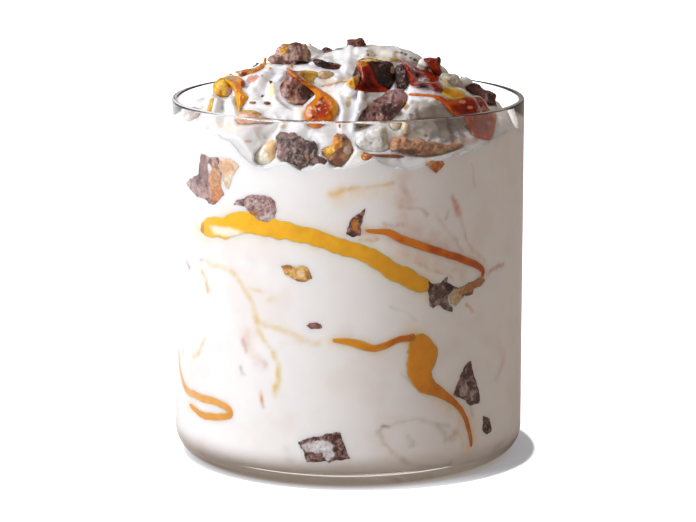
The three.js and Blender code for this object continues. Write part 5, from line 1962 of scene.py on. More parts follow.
@dataclass
class BrokenPieces:
    """The broken chocolate, nuts, nougat and hard caramel, on the mound and against the glass."""

    voxel: float = 0.26
    coarse: float = 2.8  # size of its coarse grains, in mm
    fine: float = 1.2  # size of its fine grains
    proud: float = 0.06  # how far a pressed piece's face stands out of the filling's
    # Shares of its depth and of its outline's size, from its face to its back.
    slices: tuple[tuple[float, float], ...] = (
        (-0.47, 0.55), (-0.32, 0.86), (0, 1), (0.3, 0.92), (0.46, 0.66),
    )
    pressed_slices: tuple[tuple[float, float], ...] = ((0.0, 1.0), (0.6, 0.92), (1.0, 0.6))

    def shape(self, piece: Broken, seed: int) -> tuple[Form, np.ndarray, np.ndarray]:
        """Build a piece's form.

        Args:
            piece: The piece.
            seed: Which bumps it has.

        Returns:
            The form, and each point's place in the plane that the patches are given in.
        """
        on_wall = piece.node.startswith("wall_")
        if piece.outline and on_wall:
            return self.pressed(piece, seed)
        form = self.sliced(piece) if piece.outline else Form.from_node(piece.node).remeshed(self.voxel)
        form.relax(2)
        points = form.points
        value, gap = chips(points, self.coarse, seed)
        form.push(piece.rough * (1.3 * (value - 0.5) * fade(gap, 0, 0.3) + 0.2))
        form.relax(1)
        value, gap = chips(points, self.fine, seed + 7)
        form.push(piece.rough * (0.6 * (value - 0.5) * fade(gap, 0, 0.3)))
        folds = 0.6 * ripple(points, 2, seed) - 0.6 * np.abs(ripple(points, 1.1, seed + 1))
        form.push(piece.rough * (folds + 0.1))
        points = form.points
        if on_wall:
            reach = np.hypot(points[:, 0], points[:, 1])
            wanted = np.minimum(reach + 1.3, VESSEL.fill_radius(points[:, 2]) + 0.05)
            points[:, :2] *= (wanted / reach)[:, None]
            form.points = points
        return form, *VIEW.seen(points).T

    def sliced(self, piece: Broken) -> Form:
        """Build a piece that shows its outline to the photograph's view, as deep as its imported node."""
        plane, deep = lie(piece.node)
        corners = np.array(piece.outline)
        shares = np.linspace(0, 1, 4, endpoint=False)[:, None]
        edge = np.vstack([a + (b - a) * shares for a, b in zip(corners, np.roll(corners, -1, axis=0))])
        centre = edge.mean(0)
        rings = []
        for share, size in self.slices:
            flat = centre + (edge - centre) * size
            rings.append(VIEW.at_depth(flat, flat @ plane[:2] + plane[2] + share * deep))
        return facing_out(Form.of(*loft(np.array(rings)))).remeshed(self.voxel)

    def pressed(self, piece: Broken, seed: int) -> tuple[Form, np.ndarray, np.ndarray]:
        """Build a piece that shows its outline through the glass.

        Args:
            piece: The piece.
            seed: Which bumps it has.

        Returns:
            The form, and each point's azimuth and height.
        """
        outline = np.array(piece.outline) * (MM_PER_DEGREE, 1)
        middle = outline.mean(0)
        rings = []
        for share, size in self.pressed_slices:
            flat = middle + (outline - middle) * size
            rings.append(np.column_stack([flat[:, 0], np.full(len(flat), share * piece.depth), flat[:, 1]]))
        form = facing_out(Form.of(*loft(np.array(rings)))).remeshed(self.voxel * 0.8)
        form.relax(2)
        points = form.points
        jag = np.column_stack([ripple(points, 1.5, seed), 0 * points[:, 0], ripple(points, 1.5, seed + 1)])
        points = points + 0.45 * piece.rough * jag
        azimuth, height = points[:, 0] / MM_PER_DEGREE, points[:, 2].copy()
        sunk = np.where(points[:, 1] < 0.5, np.maximum(points[:, 1] * 0.4, 0), points[:, 1])
        form.points = VESSEL.on_wall(azimuth, height, sunk - self.proud)
        return facing_out(form), azimuth, height

    def build(self, finishes: dict, pressed: dict) -> list[Form]:
        """Build every piece.

        Args:
            finishes: The material of each kind of stuff.
            pressed: The same for pieces that are pressed against the glass.

        Returns:
            Copies of the toppings' forms, for the caramel that runs over them.
        """
        copies = []
        for number, piece in enumerate([*WALL_PIECES, *TOPPINGS]):
            seed = 100 + 3 * number
            form, u, v = self.shape(piece, seed)
            form.repaint(piece.tones[0])
            points = form.points
            grains, gap = chips(points, 1.5, seed)
            blotches = ripple(points, 1.8, seed + 50) + 0.3 * ripple(points, 0.6, seed) + 0.7 * (grains - 0.5)
            form.tint(piece.tones[1], fade(blotches, -0.3, 0.5))
            if piece.stuff in CHOCOLATES:  # dark pits and pale frost
                form.tint("#341814", 0.6 * fade(ripple(points, 1.0, seed + 80), 0.22, 0.5))
                form.tint("#D2B2A6", 0.6 * fade(ripple(points, 0.7, seed + 90), 0.25, 0.55))
            form.wet = np.full(len(points), piece.wet)
            rough = ripple(points, 1.1, seed + 60)
            on_wall = piece.node.startswith("wall_")
            for dab in piece.dabs:
                reach = (dab.reach[0] / MM_PER_DEGREE, dab.reach[1]) if on_wall else dab.reach
                share = replace(dab, reach=reach).weight(u, v, rough)
                form.tint(dab.colour, share)
                form.wet = form.wet * (1 - share) + dab.wet * share
            if not on_wall:
                copies.append(Form(form.mesh.copy()))
            finish = (pressed if on_wall else finishes)[piece.stuff]
            form.shown("piece_" + piece.node, finish, piece.stuff.value, (piece.node,))
        return copies


# ------------------------------------------------------------------ caramel on the mound


@dataclass(frozen=True)
class Run:
    """A run of thick caramel that follows what it lies on.

    Attributes:
        width: Its width, in mm.
        rise: How thick it is in its middle.
        thin: Its colour where it is thin.
        thick: Its colour where it is thick.
        route: Places along it, as x and y.
        soft: Over how many millimetres it bridges hollows.
    """

    width: float
    rise: float
    thin: str
    thick: str
    route: tuple[tuple[float, float], ...]
    soft: float = 1.0


RUNS = (
    Run(3.4, 1.0, "#E0900E", "#A83208", ((-14, 10), (-15, 17), (-19, 24), (-21, 29))),
    Run(4.0, 1.1, "#D8660C", "#8E2208", ((12, 17.6), (13, 23), (9, 27.6))),
    Run(3.4, 0.9, "#A82A0A", "#5A0A06", ((25, 6), (29, 11), (28, 17))),
)


@dataclass
class CaramelRuns:
    """The caramel poured over the mound and its pieces."""

    runs: tuple[Run, ...] = RUNS
    step: float = 0.3
    across: int = 19

    def build(self, ground: BVHTree, finish: Material) -> None:
        """Build every run as one piece.

        Args:
            ground: What the caramel lies on.
            finish: Its material.
        """
        forms = [self.run(run, ground, 200 + i) for i, run in enumerate(self.runs)]
        forms[0].joined(forms[1:]).shown("caramel_runs", finish, "red_caramel")

    def drop(self, ground: BVHTree, x: np.ndarray, y: np.ndarray) -> np.ndarray:
        """Heights of the ground under places, looked for from above."""
        heights = []
        for px, py in zip(x.ravel(), y.ravel()):
            hit = ground.ray_cast(Vector((px, py, 130)), Vector((0, 0, -1)))[0]
            heights.append(hit.z if hit else float(MOUND.height(np.array([px]), np.array([py]))[0]))
        return np.array(heights).reshape(x.shape)

    def run(self, run: Run, ground: BVHTree, seed: int) -> Form:
        """Build one run.

        Args:
            run: The run.
            ground: What it lies on.
            seed: Which waves it has.

        Returns:
            The run, painted.
        """
        line = spline(run.route, self.step)
        way = np.gradient(line, axis=0)
        way /= np.linalg.norm(way, axis=1)[:, None]
        side = np.stack([-way[:, 1], way[:, 0]], -1)
        reached = np.linspace(0, 1, len(line)) * len(line) * self.step
        ends = np.minimum(reached, reached[-1] - reached)
        round_end = np.sqrt(np.clip(1 - (1 - np.clip(ends / (0.5 * run.width), 0, 1)) ** 2, 0.01, 1))
        place = np.column_stack([line, 0 * reached])
        half = 0.5 * run.width * round_end * (1 + 0.22 * ripple(place, 4, seed))
        bend = 0.14 * run.width * ripple(place, 6, seed + 1)
        share = np.linspace(-1, 1, self.across)
        flat = line[:, None] + side[:, None] * (half[:, None] * share + bend[:, None])[..., None]
        ground_height = self.drop(ground, flat[..., 0], flat[..., 1])
        ground_height = self.smoothed(ground_height, int(run.soft / self.step))
        swell = 1 + 0.25 * ripple(place, 3, seed + 2)
        thick = run.rise * round_end[:, None] * swell[:, None] * np.sqrt(np.clip(1 - share**2, 0, 1))
        top = np.dstack([flat, ground_height + thick - 0.08])
        under = np.dstack([flat[:, 1:-1][:, ::-1], (ground_height - 0.7)[:, 1:-1][:, ::-1]])
        rings = np.concatenate([top, under], 1)
        form = facing_out(Form.of(*loft(rings), run.thin))
        depth = np.zeros(len(form.paint))
        count = rings.shape[0] * rings.shape[1]
        level = np.concatenate([thick, np.zeros((len(line), self.across - 2))], 1) / run.rise
        depth[:count] = level.ravel()
        form.tint(run.thick, fade(depth + 0.25 * ripple(form.points, 2.5, seed + 3), 0.35, 1.0))
        form.wet = np.ones(len(form.paint))
        return form

    @staticmethod
    def smoothed(heights: np.ndarray, times: int) -> np.ndarray:
        """Heights with their steps bridged, as thick caramel does."""
        out = heights
        for _ in range(max(times, 1)):
            mean = neighbours(out).sum(0) / 4
            out = np.maximum(0.5 * (out + mean), 0.3 * heights + 0.7 * (0.5 * (out + mean)))
        return out


@dataclass(frozen=True)
class Pour:
    """Caramel on whatever shows inside an outline.

    Attributes:
        stuff: Whether it is red or amber caramel.
        rise: How thick it is, in mm.
        edge: Over how many pixels it thickens from its edge.
        thin: Its colour where it is thin.
        thick: Its colour where it is thick.
        outline: The pixels round it.
        dabs: Patches of other colours.
    """

    stuff: Stuff
    rise: float
    edge: float
    thin: str
    thick: str
    outline: tuple[tuple[float, float], ...]
    dabs: tuple[Dab, ...] = ()


POURS = (
    # left ridge and its streams
    Pour(Stuff.AMBER, 0.8, 4, "#C97A22", "#8A3A16", (
        (267, 58), (264.5, 57.5), (256, 65.5), (250.4, 67.8), (241.4, 69.7), (234, 71.5), (231, 75),
        (238, 77.5), (243, 77), (249, 74.5), (255, 73), (262, 69.5), (266, 64),
    ), (
        Dab(243, 74, (4, 2.4), "#6A2418"),
        Dab(236, 74.5, (3, 1.6), "#F2C8B0"),
        Dab(262, 63, (4, 4), "#C98A1C"),
    )),
    Pour(Stuff.RED, 0.5, 4, "#E8A890", "#C0604A", (
        (248, 76.5), (256, 74.6), (263.4, 74.6), (262, 78), (256, 81.5), (250, 83.6), (246, 81),
    )),
    Pour(Stuff.AMBER, 1.0, 5, "#E8A01C", "#D07008", (
        (225, 76.5), (233, 75), (241.4, 78), (245.5, 81.5), (244, 86.5), (242, 89.5), (247.9, 95.6),
        (249.4, 98), (245.5, 102), (241.4, 108.3), (239.4, 113), (237, 108), (235.5, 101), (234.6, 95),
        (231, 87), (226, 82),
    ), (Dab(243, 84, (2.6, 4), "#A02A0A"), Dab(229, 79, (4, 2), "#F0C060"))),
    Pour(Stuff.AMBER, 0.4, 3, "#E0AE48", "#C98A22", (
        (241, 110.5), (248, 109.5), (256, 110.5), (262, 114), (256, 114.5), (248, 113), (242, 113),
    )),
    Pour(Stuff.AMBER, 0.4, 3, "#E8B850", "#C88A20", (
        (209.6, 99), (214.4, 98), (214, 105), (211.5, 112), (208, 117), (204.6, 116.5), (206, 110),
        (208.6, 104),
    )),
    # the drape behind the dark piece, and the band that ends in the large drip
    Pour(Stuff.AMBER, 0.6, 4, "#D8A83A", "#A87818", (
        (290, 69.5), (297, 70.5), (306, 70), (317, 71.5), (318, 76), (314, 80.5), (318, 84), (312, 84),
        (306, 80), (299, 75.5), (291, 72.5),
    )),
    Pour(Stuff.RED, 1.7, 9, "#D07A14", "#A03806", (
        (286, 68), (290, 68.6), (297, 73), (305, 78.5), (313, 84), (321, 89), (329, 94), (333.5, 98),
        (338, 102.6), (339, 108.5), (336.5, 116), (332.3, 122.2), (328, 126.3), (319.3, 130.4),
        (312.7, 130), (307.8, 127), (304.6, 120.6), (304, 113.5), (305.5, 106.5), (309, 103), (315, 97),
        (312.5, 92), (305, 86.5), (297, 80.5), (290, 74.5),
    ), (
        Dab(335, 110, (3, 6), "#E0A020", 0.8), Dab(318, 126, (7, 3), "#D86C12", 0.8),
        # the first dab is a painted pink-white highlight down the drip's left side
        Dab(309, 112, (3, 7), "#EDB49C", 0.8), Dab(299, 79, (6, 3), "#8A3A10", 0.8),
        Dab(321, 108, (6, 9), "#8E2A08", 0.8),
    )),
    # over the coated piece and down its sides
    Pour(Stuff.AMBER, 0.5, 3, "#E8BE62", "#C08A26", (
        (355, 61.5), (363.5, 59), (371.6, 57.6), (388, 56.8), (403, 58.4), (410, 61), (402, 62), (395, 61),
        (385, 62.5), (372, 62.5), (364, 63.5), (357, 65),
    )),
    Pour(Stuff.RED, 0.7, 5, "#A02A08", "#620A04", (
        (356, 61.5), (363, 60.5), (369, 64), (373, 70), (376, 78), (380, 84), (387, 88), (386, 92),
        (376, 92.3), (365, 92), (354, 90), (353.5, 86), (359, 83), (361, 76), (358, 69),
    ), (Dab(362, 64, (5, 3), "#B8701A"),)),
    Pour(Stuff.RED, 2.8, 8, "#962408", "#6A0C04", (
        (400, 58.9), (407.3, 59.7), (417, 63.8), (427.8, 68.7), (431, 71.9), (440, 78.4), (442.4, 85),
        (444, 91.5), (435, 92.3), (424.5, 86.6), (416.3, 88.2), (409.8, 85), (407.3, 74.4), (403.3, 65.4),
    ), (Dab(424.5, 85, (5, 3.4), "#3A2620", 0.8), Dab(430, 76, (5, 3), "#A8380E", 0.7))),
    Pour(Stuff.RED, 0.5, 3.5, "#E8B48C", "#CC8448", (
        (320, 84.8), (330, 82.8), (341, 79.8), (349, 77), (350, 79.5), (342, 83), (331, 86.4), (321, 87.6),
    )),
    Pour(Stuff.AMBER, 1.1, 4, "#F0BE58", "#D89A28", (
        (345.5, 83), (348.8, 78), (355, 75.5), (359.5, 74.5), (360, 79), (358, 86), (356.5, 89),
        (350, 88.6),
    )),
    # right
    Pour(Stuff.AMBER, 0.8, 4, "#F2C860", "#DE9A22", (
        (440.5, 80), (446, 78.6), (450, 84), (456, 88), (463.7, 91), (466, 96.4), (462, 99.5),
        (452.2, 100), (445, 97), (440.8, 93.1),
    )),
    Pour(Stuff.RED, 1.0, 5, "#C8580F", "#96200A", (
        (409.6, 92.8), (422.7, 93.4), (439, 95.3), (446, 98.5), (453, 100.5), (460, 99), (463.5, 96),
        (471, 96.5), (479.8, 96.9), (484, 100), (488, 107.5), (495.3, 114.9), (493.7, 124.7),
        (491.2, 134.4), (487.5, 140), (479.8, 139.4), (471.6, 136), (465.9, 127.1), (461.8, 119.8),
        (454.5, 115.7), (448.8, 110.8), (442.2, 103.4), (435.7, 99.3), (426.7, 96.9), (410.4, 96.2),
    ), (
        # the second dab is painted reflection: the caramel behind the glass painted paler and pinker, as the
        # glass's haze makes it look
        Dab(428, 95.5, (14, 2.4), "#DC6E14", 0.8), Dab(481, 126, (12, 12), "#B4685A", 0.75),
        # both dabs are painted highlights
        Dab(462.7, 101.8, (3, 1.6), "#E8B080"), Dab(470, 107.5, (3, 1.8), "#E0A078", 0.9),
    )),
    # along the front edge
    Pour(Stuff.RED, 0.5, 3, "#9A4A1E", "#5E1A10", (
        (362, 151), (372, 153.2), (386, 153.6), (397, 153.8), (405, 156.6), (398, 158.4), (386, 157.6),
        (376, 156.8), (364, 154),
    )),
    Pour(Stuff.AMBER, 0.6, 4, "#B86A14", "#A0520C", (
        (361, 154.5), (365, 153), (370, 153.6), (372, 157), (369.5, 160.4), (364, 160.6), (361, 158),
    )),
    Pour(Stuff.RED, 0.6, 3, "#A86A3A", "#7A4A24", (
        (248.7, 102), (252, 101), (256, 101.4), (256, 104), (251, 104.6),
    )),
    Pour(Stuff.RED, 0.6, 3, "#7A4A24", "#5A2E10", (
        (263.4, 102), (267, 101), (270.8, 102.5), (270, 105), (265, 105.4),
    )),
)


@dataclass
class Poured:
    """The caramel that shows from the front, laid on the mound and its pieces along the lines of sight."""

    pours: tuple[Pour, ...] = POURS
    pitch: float = 0.8  # between its points, in pixels
    bridge: int = 10  # how often the ground's hollows are bridged, for each pixel of a patch's edge
    sunk: float = 0.12  # how far its edge lies inside the ground
    under: float = 0.7  # how far its underside lies inside the ground

    def build(self, ground: BVHTree, finish: Material) -> None:
        """Build the red caramel and the amber caramel.

        Args:
            ground: What the caramel lies on.
            finish: Its material.
        """
        for stuff in (Stuff.RED, Stuff.AMBER):
            some = [(i, pour) for i, pour in enumerate(self.pours) if pour.stuff is stuff]
            forms = [self.lay(pour, ground, 300 + 4 * i) for i, pour in some]
            forms[0].joined(forms[1:]).shown("poured_" + stuff.value, finish, stuff.value)

    def lay(self, pour: Pour, ground: BVHTree, seed: int) -> Form:
        """Build one patch of caramel.

        Args:
            pour: The patch.
            ground: What it lies on.
            seed: Which waves it has.

        Returns:
            The patch, painted.
        """
        line = rounded(pour.outline)
        low, high = line.min(0) - self.pitch, line.max(0) + 2 * self.pitch
        across, down = np.arange(low[0], high[0], self.pitch), np.arange(low[1], high[1], self.pitch)
        shape = (len(down), len(across))
        pixels = np.stack(np.meshgrid(across, down), -1).reshape(-1, 2)
        inside, nearest = outline_distance(line, pixels)
        kept = inside > -0.75 * self.pitch
        pixels = np.where((inside < 0)[:, None], nearest, pixels)
        inside = np.maximum(inside, 0)
        ways = VIEW.way(pixels)
        reach = self.bridged(self.cast(ground, ways, shape), int(self.bridge * pour.edge)).ravel()
        foot = VIEW.eye + ways * reach[:, None]
        net = foot.reshape(*shape, 3)
        facing = np.cross(np.gradient(net, axis=1), np.gradient(net, axis=0)).reshape(-1, 3)
        slant = np.abs((facing * ways).sum(1)) / np.maximum(np.linalg.norm(facing, axis=1), 1e-9)
        level = np.sqrt(1 - (1 - np.clip(inside / pour.edge, 0, 1)) ** 2)
        thick = pour.rise * level * (1 + 0.3 * ripple(foot, 2.6, seed)) / np.maximum(slant, 0.4)
        top = VIEW.eye + ways * (reach + self.sunk - thick)[:, None]
        bottom = VIEW.eye + ways * (reach + self.sunk + self.under * level)[:, None]
        number = np.cumsum(kept) - 1
        cells = np.array(grid_faces(*shape))
        cells = number[cells[kept[cells].all(1) & (inside[cells].max(1) > 0)]]
        faces = cells.tolist() + (cells[:, ::-1] + int(kept.sum())).tolist()
        work = opened(Form.of(np.vstack([top[kept], bottom[kept]]), faces).mesh)
        bmesh.ops.remove_doubles(work, verts=work.verts, dist=1e-3)
        bmesh.ops.delete(work, geom=[v for v in work.verts if not v.link_faces], context="VERTS")
        form = facing_out(Form(written(work), pour.thin))
        form.relax(3, 0.4)
        points = form.points
        seen = VIEW.seen(points)
        depth = np.clip(outline_distance(line, seen)[0] / (1.4 * pour.edge), 0, 1)
        form.tint(pour.thick, fade(depth + 0.3 * ripple(points, 2.5, seed + 1), 0.2, 0.9))
        rough = ripple(points, 1.2, seed + 2)
        for dab in pour.dabs:
            form.tint(dab.colour, dab.weight(*seen.T, rough))
        form.wet = np.ones(len(points))
        return form

    @staticmethod
    def cast(ground: BVHTree, ways: np.ndarray, shape: tuple[int, int]) -> np.ndarray:
        """How far away the ground is along directions from the eye, guessed beside it where there is none."""
        eye = Vector(VIEW.eye)
        hits = [ground.ray_cast(eye, Vector(way))[3] for way in ways]
        reach = np.array([np.nan if hit is None else hit for hit in hits]).reshape(shape)
        for _ in range(16):
            beside = neighbours(reach)
            known = ~np.isnan(beside)
            mean = np.where(known, beside, 0).sum(0) / np.maximum(known.sum(0), 1)
            reach = np.where(np.isnan(reach) & known.any(0), mean, reach)
        return np.where(np.isnan(reach), np.nanmean(reach), reach)

    @staticmethod
    def bridged(reach: np.ndarray, times: int) -> np.ndarray:
        """Distances to the ground with its hollows filled, as thick caramel does."""
        out = reach
        for _ in range(times):
            mean = neighbours(out).sum(0) / 4
            out = np.minimum(reach + 0.5, 0.3 * out + 0.7 * mean)
        return out


# ------------------------------------------------------------------ crumbs


@dataclass
class Crumbs:
    """Small crumbs scattered over the mound by a Geometry Nodes tree."""

    name: str
    density: float  # on a square metre
    size: float  # in mm
    seed: int
    dark: str
    light: str
    within: float = 40.5  # mm from the axis
    flattest: float = 0.25  # the upward share of a face's direction, below which it's too steep

    def tree(self, finish: Material) -> bpy.types.GeometryNodeTree:
        """Build the tree that scatters the crumbs."""
        tree = bpy.data.node_groups.new("scatter_" + self.name, "GeometryNodeTree")
        face = tree.interface
        face.new_socket("Ground", in_out="INPUT", socket_type="NodeSocketGeometry")
        kinds = {"Density": "NodeSocketFloat", "Size": "NodeSocketFloat", "Seed": "NodeSocketInt"}
        for label, kind in kinds.items():
            face.new_socket(label, in_out="INPUT", socket_type=kind)
        face.new_socket("Crumbs", in_out="OUTPUT", socket_type="NodeSocketGeometry")
        given = add_node(tree, "NodeGroupInput").outputs
        scatter = add_node(
            tree,
            "GeometryNodeDistributePointsOnFaces",
            {"Mesh": given["Ground"], "Density": given["Density"], "Seed": given["Seed"]},
        )
        ball = add_node(tree, "GeometryNodeMeshIcoSphere", {"Radius": 1.0, "Subdivisions": 2})
        where = add_node(tree, "GeometryNodeInputPosition")
        grain = {"Vector": where.outputs[0], "Scale": 1.3, "Detail": 2.0}
        rough = add_node(tree, "ShaderNodeTexNoise", grain)
        about_none = {0: rough.outputs["Color"], 1: (0.5, 0.5, 0.5)}
        swing = add_node(tree, "ShaderNodeVectorMath", about_none, operation="SUBTRACT")
        wide = add_node(tree, "ShaderNodeVectorMath", {0: swing.outputs[0], "Scale": 1.7}, operation="SCALE")
        moved = {"Geometry": ball.outputs["Mesh"], "Offset": wide.outputs[0]}
        lump = add_node(tree, "GeometryNodeSetPosition", moved)
        turns = {"Max": (6.28, 6.28, 6.28), "Seed": 1}
        spin = add_node(tree, "FunctionNodeRandomValue", turns, data_type="FLOAT_VECTOR")
        sizes = {"Min": (0.5, 0.45, 0.35), "Max": (1.3, 1.0, 0.8), "Seed": 2}
        stretch = add_node(tree, "FunctionNodeRandomValue", sizes, data_type="FLOAT_VECTOR")
        grown = {0: stretch.outputs[0], "Scale": given["Size"]}
        scaled = add_node(tree, "ShaderNodeVectorMath", grown, operation="SCALE")
        placed = add_node(
            tree,
            "GeometryNodeInstanceOnPoints",
            {
                "Points": scatter.outputs["Points"],
                "Instance": lump.outputs["Geometry"],
                "Rotation": spin.outputs[0],
                "Scale": scaled.outputs[0],
            },
        )
        tone = add_node(tree, "FunctionNodeRandomValue", {"Seed": 3}, data_type="FLOAT")
        colour = blend(tree, tone.outputs[1], self.dark, self.light)
        painted = add_node(
            tree,
            "GeometryNodeStoreNamedAttribute",
            {"Geometry": placed.outputs["Instances"], "Name": "paint", "Value": colour},
            data_type="FLOAT_COLOR",
            domain="INSTANCE",
        )
        real = add_node(tree, "GeometryNodeRealizeInstances", {"Geometry": painted.outputs["Geometry"]})
        dressed = add_node(
            tree, "GeometryNodeSetMaterial", {"Geometry": real.outputs["Geometry"], "Material": finish}
        )
        add_node(tree, "NodeGroupOutput", {"Crumbs": dressed.outputs["Geometry"]})
        return tree

    def build(self, ground: Form, finish: Material, slot: str) -> None:
        """Scatter the crumbs and turn them into a plain mesh.

        Args:
            ground: The mound, in mm.
            finish: The crumbs' material.
            slot: The record's material slot. It is not used.
        """
        mesh = ground.mesh.copy()
        work = opened(mesh)
        hidden = [
            face for face in work.faces
            if face.normal.z < self.flattest
            or math.hypot(*face.calc_center_median()[:2]) > self.within
        ]
        bmesh.ops.delete(work, geom=hidden, context="FACES")
        written(work, mesh)
        mesh.transform(Matrix.Scale(METRES, 4))
        holder = linked("ground", mesh)
        tree = self.tree(finish)
        modifier = holder.modifiers.new("scatter", "NODES")
        modifier.node_group = tree
        values = {"Density": self.density, "Size": self.size * METRES, "Seed": self.seed}
        for item in tree.interface.items_tree:
            if item.in_out == "INPUT" and item.name in values:
                modifier[item.identifier] = values[item.name]
        graph = bpy.context.evaluated_depsgraph_get()
        result = bpy.data.meshes.new_from_object(holder.evaluated_get(graph))
        bpy.data.objects.remove(holder)
        result.name = self.name
        piece = linked(self.name, result)
        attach(piece, BODY)
        LOG.info("%s: %d faces", self.name, len(result.polygons))


# ------------------------------------------------------------------ the studio


@dataclass(frozen=True)
class Lamp:
    """A soft square lamp that faces the dessert.

    Attributes:
        name: Its name.
        place: Where it hangs, in mm.
        size: Its width, in mm.
        power: Its power in watts.
        colour: The colour of its light.
        aim: The height it faces, in mm.
    """

    name: str
    place: tuple[float, float, float]
    size: float
    power: float
    colour: str
    aim: float = 60.0

    def hang(self) -> None:
        """Hang the lamp."""
        data = bpy.data.lights.new(self.name, "AREA")
        data.shape = "SQUARE"
        data.size = self.size * METRES
        data.energy = self.power
        data.color = linear(self.colour)
        lamp = linked(self.name, data)
        lamp.location = Vector(self.place) * METRES
        way = Vector((0, 0, self.aim * METRES)) - lamp.location
        lamp.rotation_euler = way.to_track_quat("-Z", "Y").to_euler()


LAMPS = (
    Lamp("key", (-640, -370, 400), 400, 7.3, "#F0F5FF"),
    Lamp("top", (-120, 160, 620), 160, 0.8, "#FFF6EC"),
)


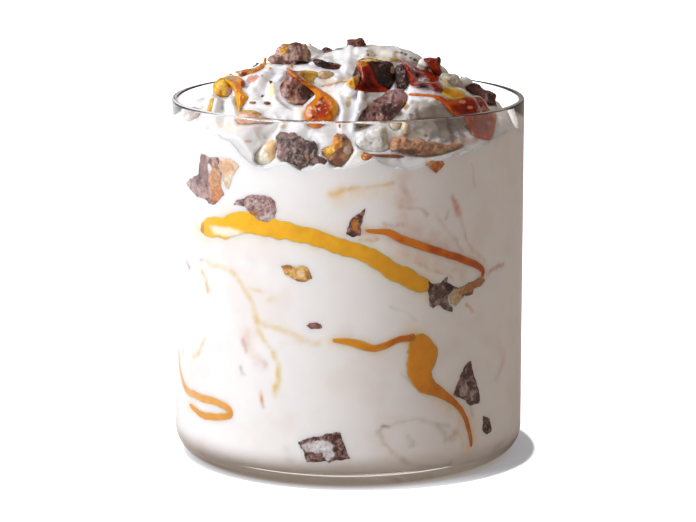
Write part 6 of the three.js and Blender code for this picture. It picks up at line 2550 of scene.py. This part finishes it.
@dataclass
class Studio:
    """The pale floor, the soft lights and the camera."""

    floor_size: float = 8000.0  # mm
    floor_gap: float = 0.05  # below the foot, in mm
    left: str = "#C6C8CE"
    right: str = "#AA9D93"
    above: float = 0.62  # brightness from above, as a share of that from the side
    behind: float = 0.7  # brightness from behind
    sun: float = 3.4  # strength of the light on the floor alone
    sun_way: tuple[float, float, float] = (0.062, 0.0, -1.0)
    sun_blur: float = 0.9  # degrees

    def build(self) -> None:
        """Build the studio."""
        scene = bpy.context.scene
        scene.view_settings.view_transform = "Standard"
        floor = self.floor()
        self.camera(scene)
        self.world(scene)
        for lamp in LAMPS:
            lamp.hang()
        self.wash(floor)

    def floor(self) -> bpy.types.Object:
        """Lay the floor just under the foot."""
        half = self.floor_size / 2 * METRES
        mesh = bpy.data.meshes.new("studio_floor")
        corners = [(-half, -half, 0), (half, -half, 0), (half, half, 0), (-half, half, 0)]
        mesh.from_pydata(corners, [], [(0, 1, 2, 3)])
        mesh.materials.append(StudioPaper().material())
        floor = linked("studio_floor", mesh)
        floor.location.z = -self.floor_gap * METRES
        return floor

    def camera(self, scene: bpy.types.Scene) -> None:
        """Put the camera at the photograph's viewing angle."""
        data = bpy.data.cameras.new("camera")
        data.sensor_width = 36
        data.lens = data.sensor_width * VIEW.focal / VIEW.width
        data.sensor_fit = "HORIZONTAL"
        data.clip_start = 0.01
        data.clip_end = 20
        camera = linked("camera", data)
        camera.location = Vector(VIEW.eye) * METRES
        camera.rotation_euler = (math.radians(90 - VIEW.pitch), 0, 0)
        scene.camera = camera

    def world(self, scene: bpy.types.Scene) -> None:
        """Light the surroundings, pale on the left, warm on the right, dim behind and above."""
        world = bpy.data.worlds.new("studio_light")
        scene.world = world
        world.use_nodes = True
        tree = world.node_tree
        tree.nodes.clear()
        way = add_node(tree, "ShaderNodeTexCoord").outputs["Generated"]
        parts = add_node(tree, "ShaderNodeSeparateXYZ", {"Vector": way}).outputs
        colour = blend(tree, ramp(tree, parts["X"], -0.6, 0.5), self.left, self.right)
        from_above = ramp(tree, parts["Z"], 0.05, 0.6, 1.0, self.above)
        from_behind = ramp(tree, parts["Y"], 0.0, 0.7, 1.0, self.behind)
        bright = combine(tree, "MULTIPLY", from_above, from_behind)
        soft = add_node(tree, "ShaderNodeBackground", {"Color": colour, "Strength": bright})
        clear = add_node(tree, "ShaderNodeBackground", {"Color": "#FFFFFF"})
        path = add_node(tree, "ShaderNodeLightPath").outputs
        walls = combine(tree, "LESS_THAN", path["Transmission Depth"], 3.5)
        away = ramp(tree, parts["Y"], 0.1, 0.4)
        aside = combine(tree, "MAXIMUM", away, ramp(tree, parts["X"], -0.2, -0.5))
        in_glass = combine(tree, "MULTIPLY", aside, walls)
        direct = combine(tree, "LESS_THAN", path["Glossy Depth"], 0.5)
        only_glass = combine(tree, "MAXIMUM", direct, in_glass)
        entered = combine(tree, "GREATER_THAN", path["Transmission Depth"], 0.5)
        no_food = combine(tree, "LESS_THAN", path["Diffuse Depth"], 0.5)
        through = combine(tree, "MULTIPLY", combine(tree, "MULTIPLY", entered, no_food), only_glass)
        back = mixed(tree, through, soft.outputs[0], clear.outputs[0])
        add_node(tree, "ShaderNodeOutputWorld", {"Surface": back})

    def wash(self, floor: bpy.types.Object) -> None:
        """Wash the floor alone with light from nearly straight above, which leaves a narrow shadow.

        Args:
            floor: The floor.
        """
        data = bpy.data.lights.new("floor_wash", "SUN")
        data.energy = self.sun
        data.angle = math.radians(self.sun_blur)
        lamp = linked("floor_wash", data)
        lamp.rotation_euler = Vector(self.sun_way).to_track_quat("-Z", "Y").to_euler()
        lit = bpy.data.collections.new("washed")
        lit.objects.link(floor)
        lamp.light_linking.receiver_collection = lit


# ------------------------------------------------------------------ everything


def by_stuff(chocolate: Material, nut: Material, caramel: Material) -> dict:
    """Which material each kind of stuff takes."""
    taken = {stuff: chocolate for stuff in (Stuff.FROSTED, Stuff.MILK, Stuff.DARK)}
    taken |= {stuff: nut for stuff in (Stuff.CHEWY, Stuff.NOUGAT, Stuff.PEANUT)}
    return taken | {stuff: caramel for stuff in (Stuff.AMBER, Stuff.RED)}


def main() -> None:
    """Build the dessert, its glass and the studio, in that order."""
    logging.basicConfig(level=logging.INFO, format="%(message)s")
    FRAME.update(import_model())
    chocolate, nut, caramel = CHOCOLATE.material(), NUT.material(), CARAMEL.material()
    Tumbler().build(ClearGlass().material())
    Filling().build(PRESSED_ICE_CREAM.material())
    mound = MoundTop().build(SOFT_ICE_CREAM.material())
    Ribbons().build(RIBBON_CARAMEL.material())
    free = by_stuff(chocolate, nut, caramel)
    pressed = by_stuff(PRESSED_CHOCOLATE.material(), PRESSED_NUT.material(), caramel)
    toppings = BrokenPieces().build(free, pressed)
    covered = mound.joined(toppings)
    ground = BVHTree.FromPolygons(
        [tuple(p) for p in covered.points.tolist()], [tuple(f.vertices) for f in covered.mesh.polygons]
    )
    CaramelRuns().build(ground, caramel)
    Poured().build(ground, caramel)
    Crumbs("chocolate_crumbs", 2600, 0.55, 3, "#2E1410", "#7A4A40").build(mound, chocolate, "milk_chocolate")
    Crumbs("nut_crumbs", 2400, 0.5, 8, "#B9813E", "#EBCB94").build(mound, nut, "peanut")
    Crumbs("caramel_crumbs", 1600, 0.45, 12, "#8A2408", "#DE8C1C").build(mound, caramel, "amber_caramel")
    Studio().build()


if __name__ == "__main__":
    main()
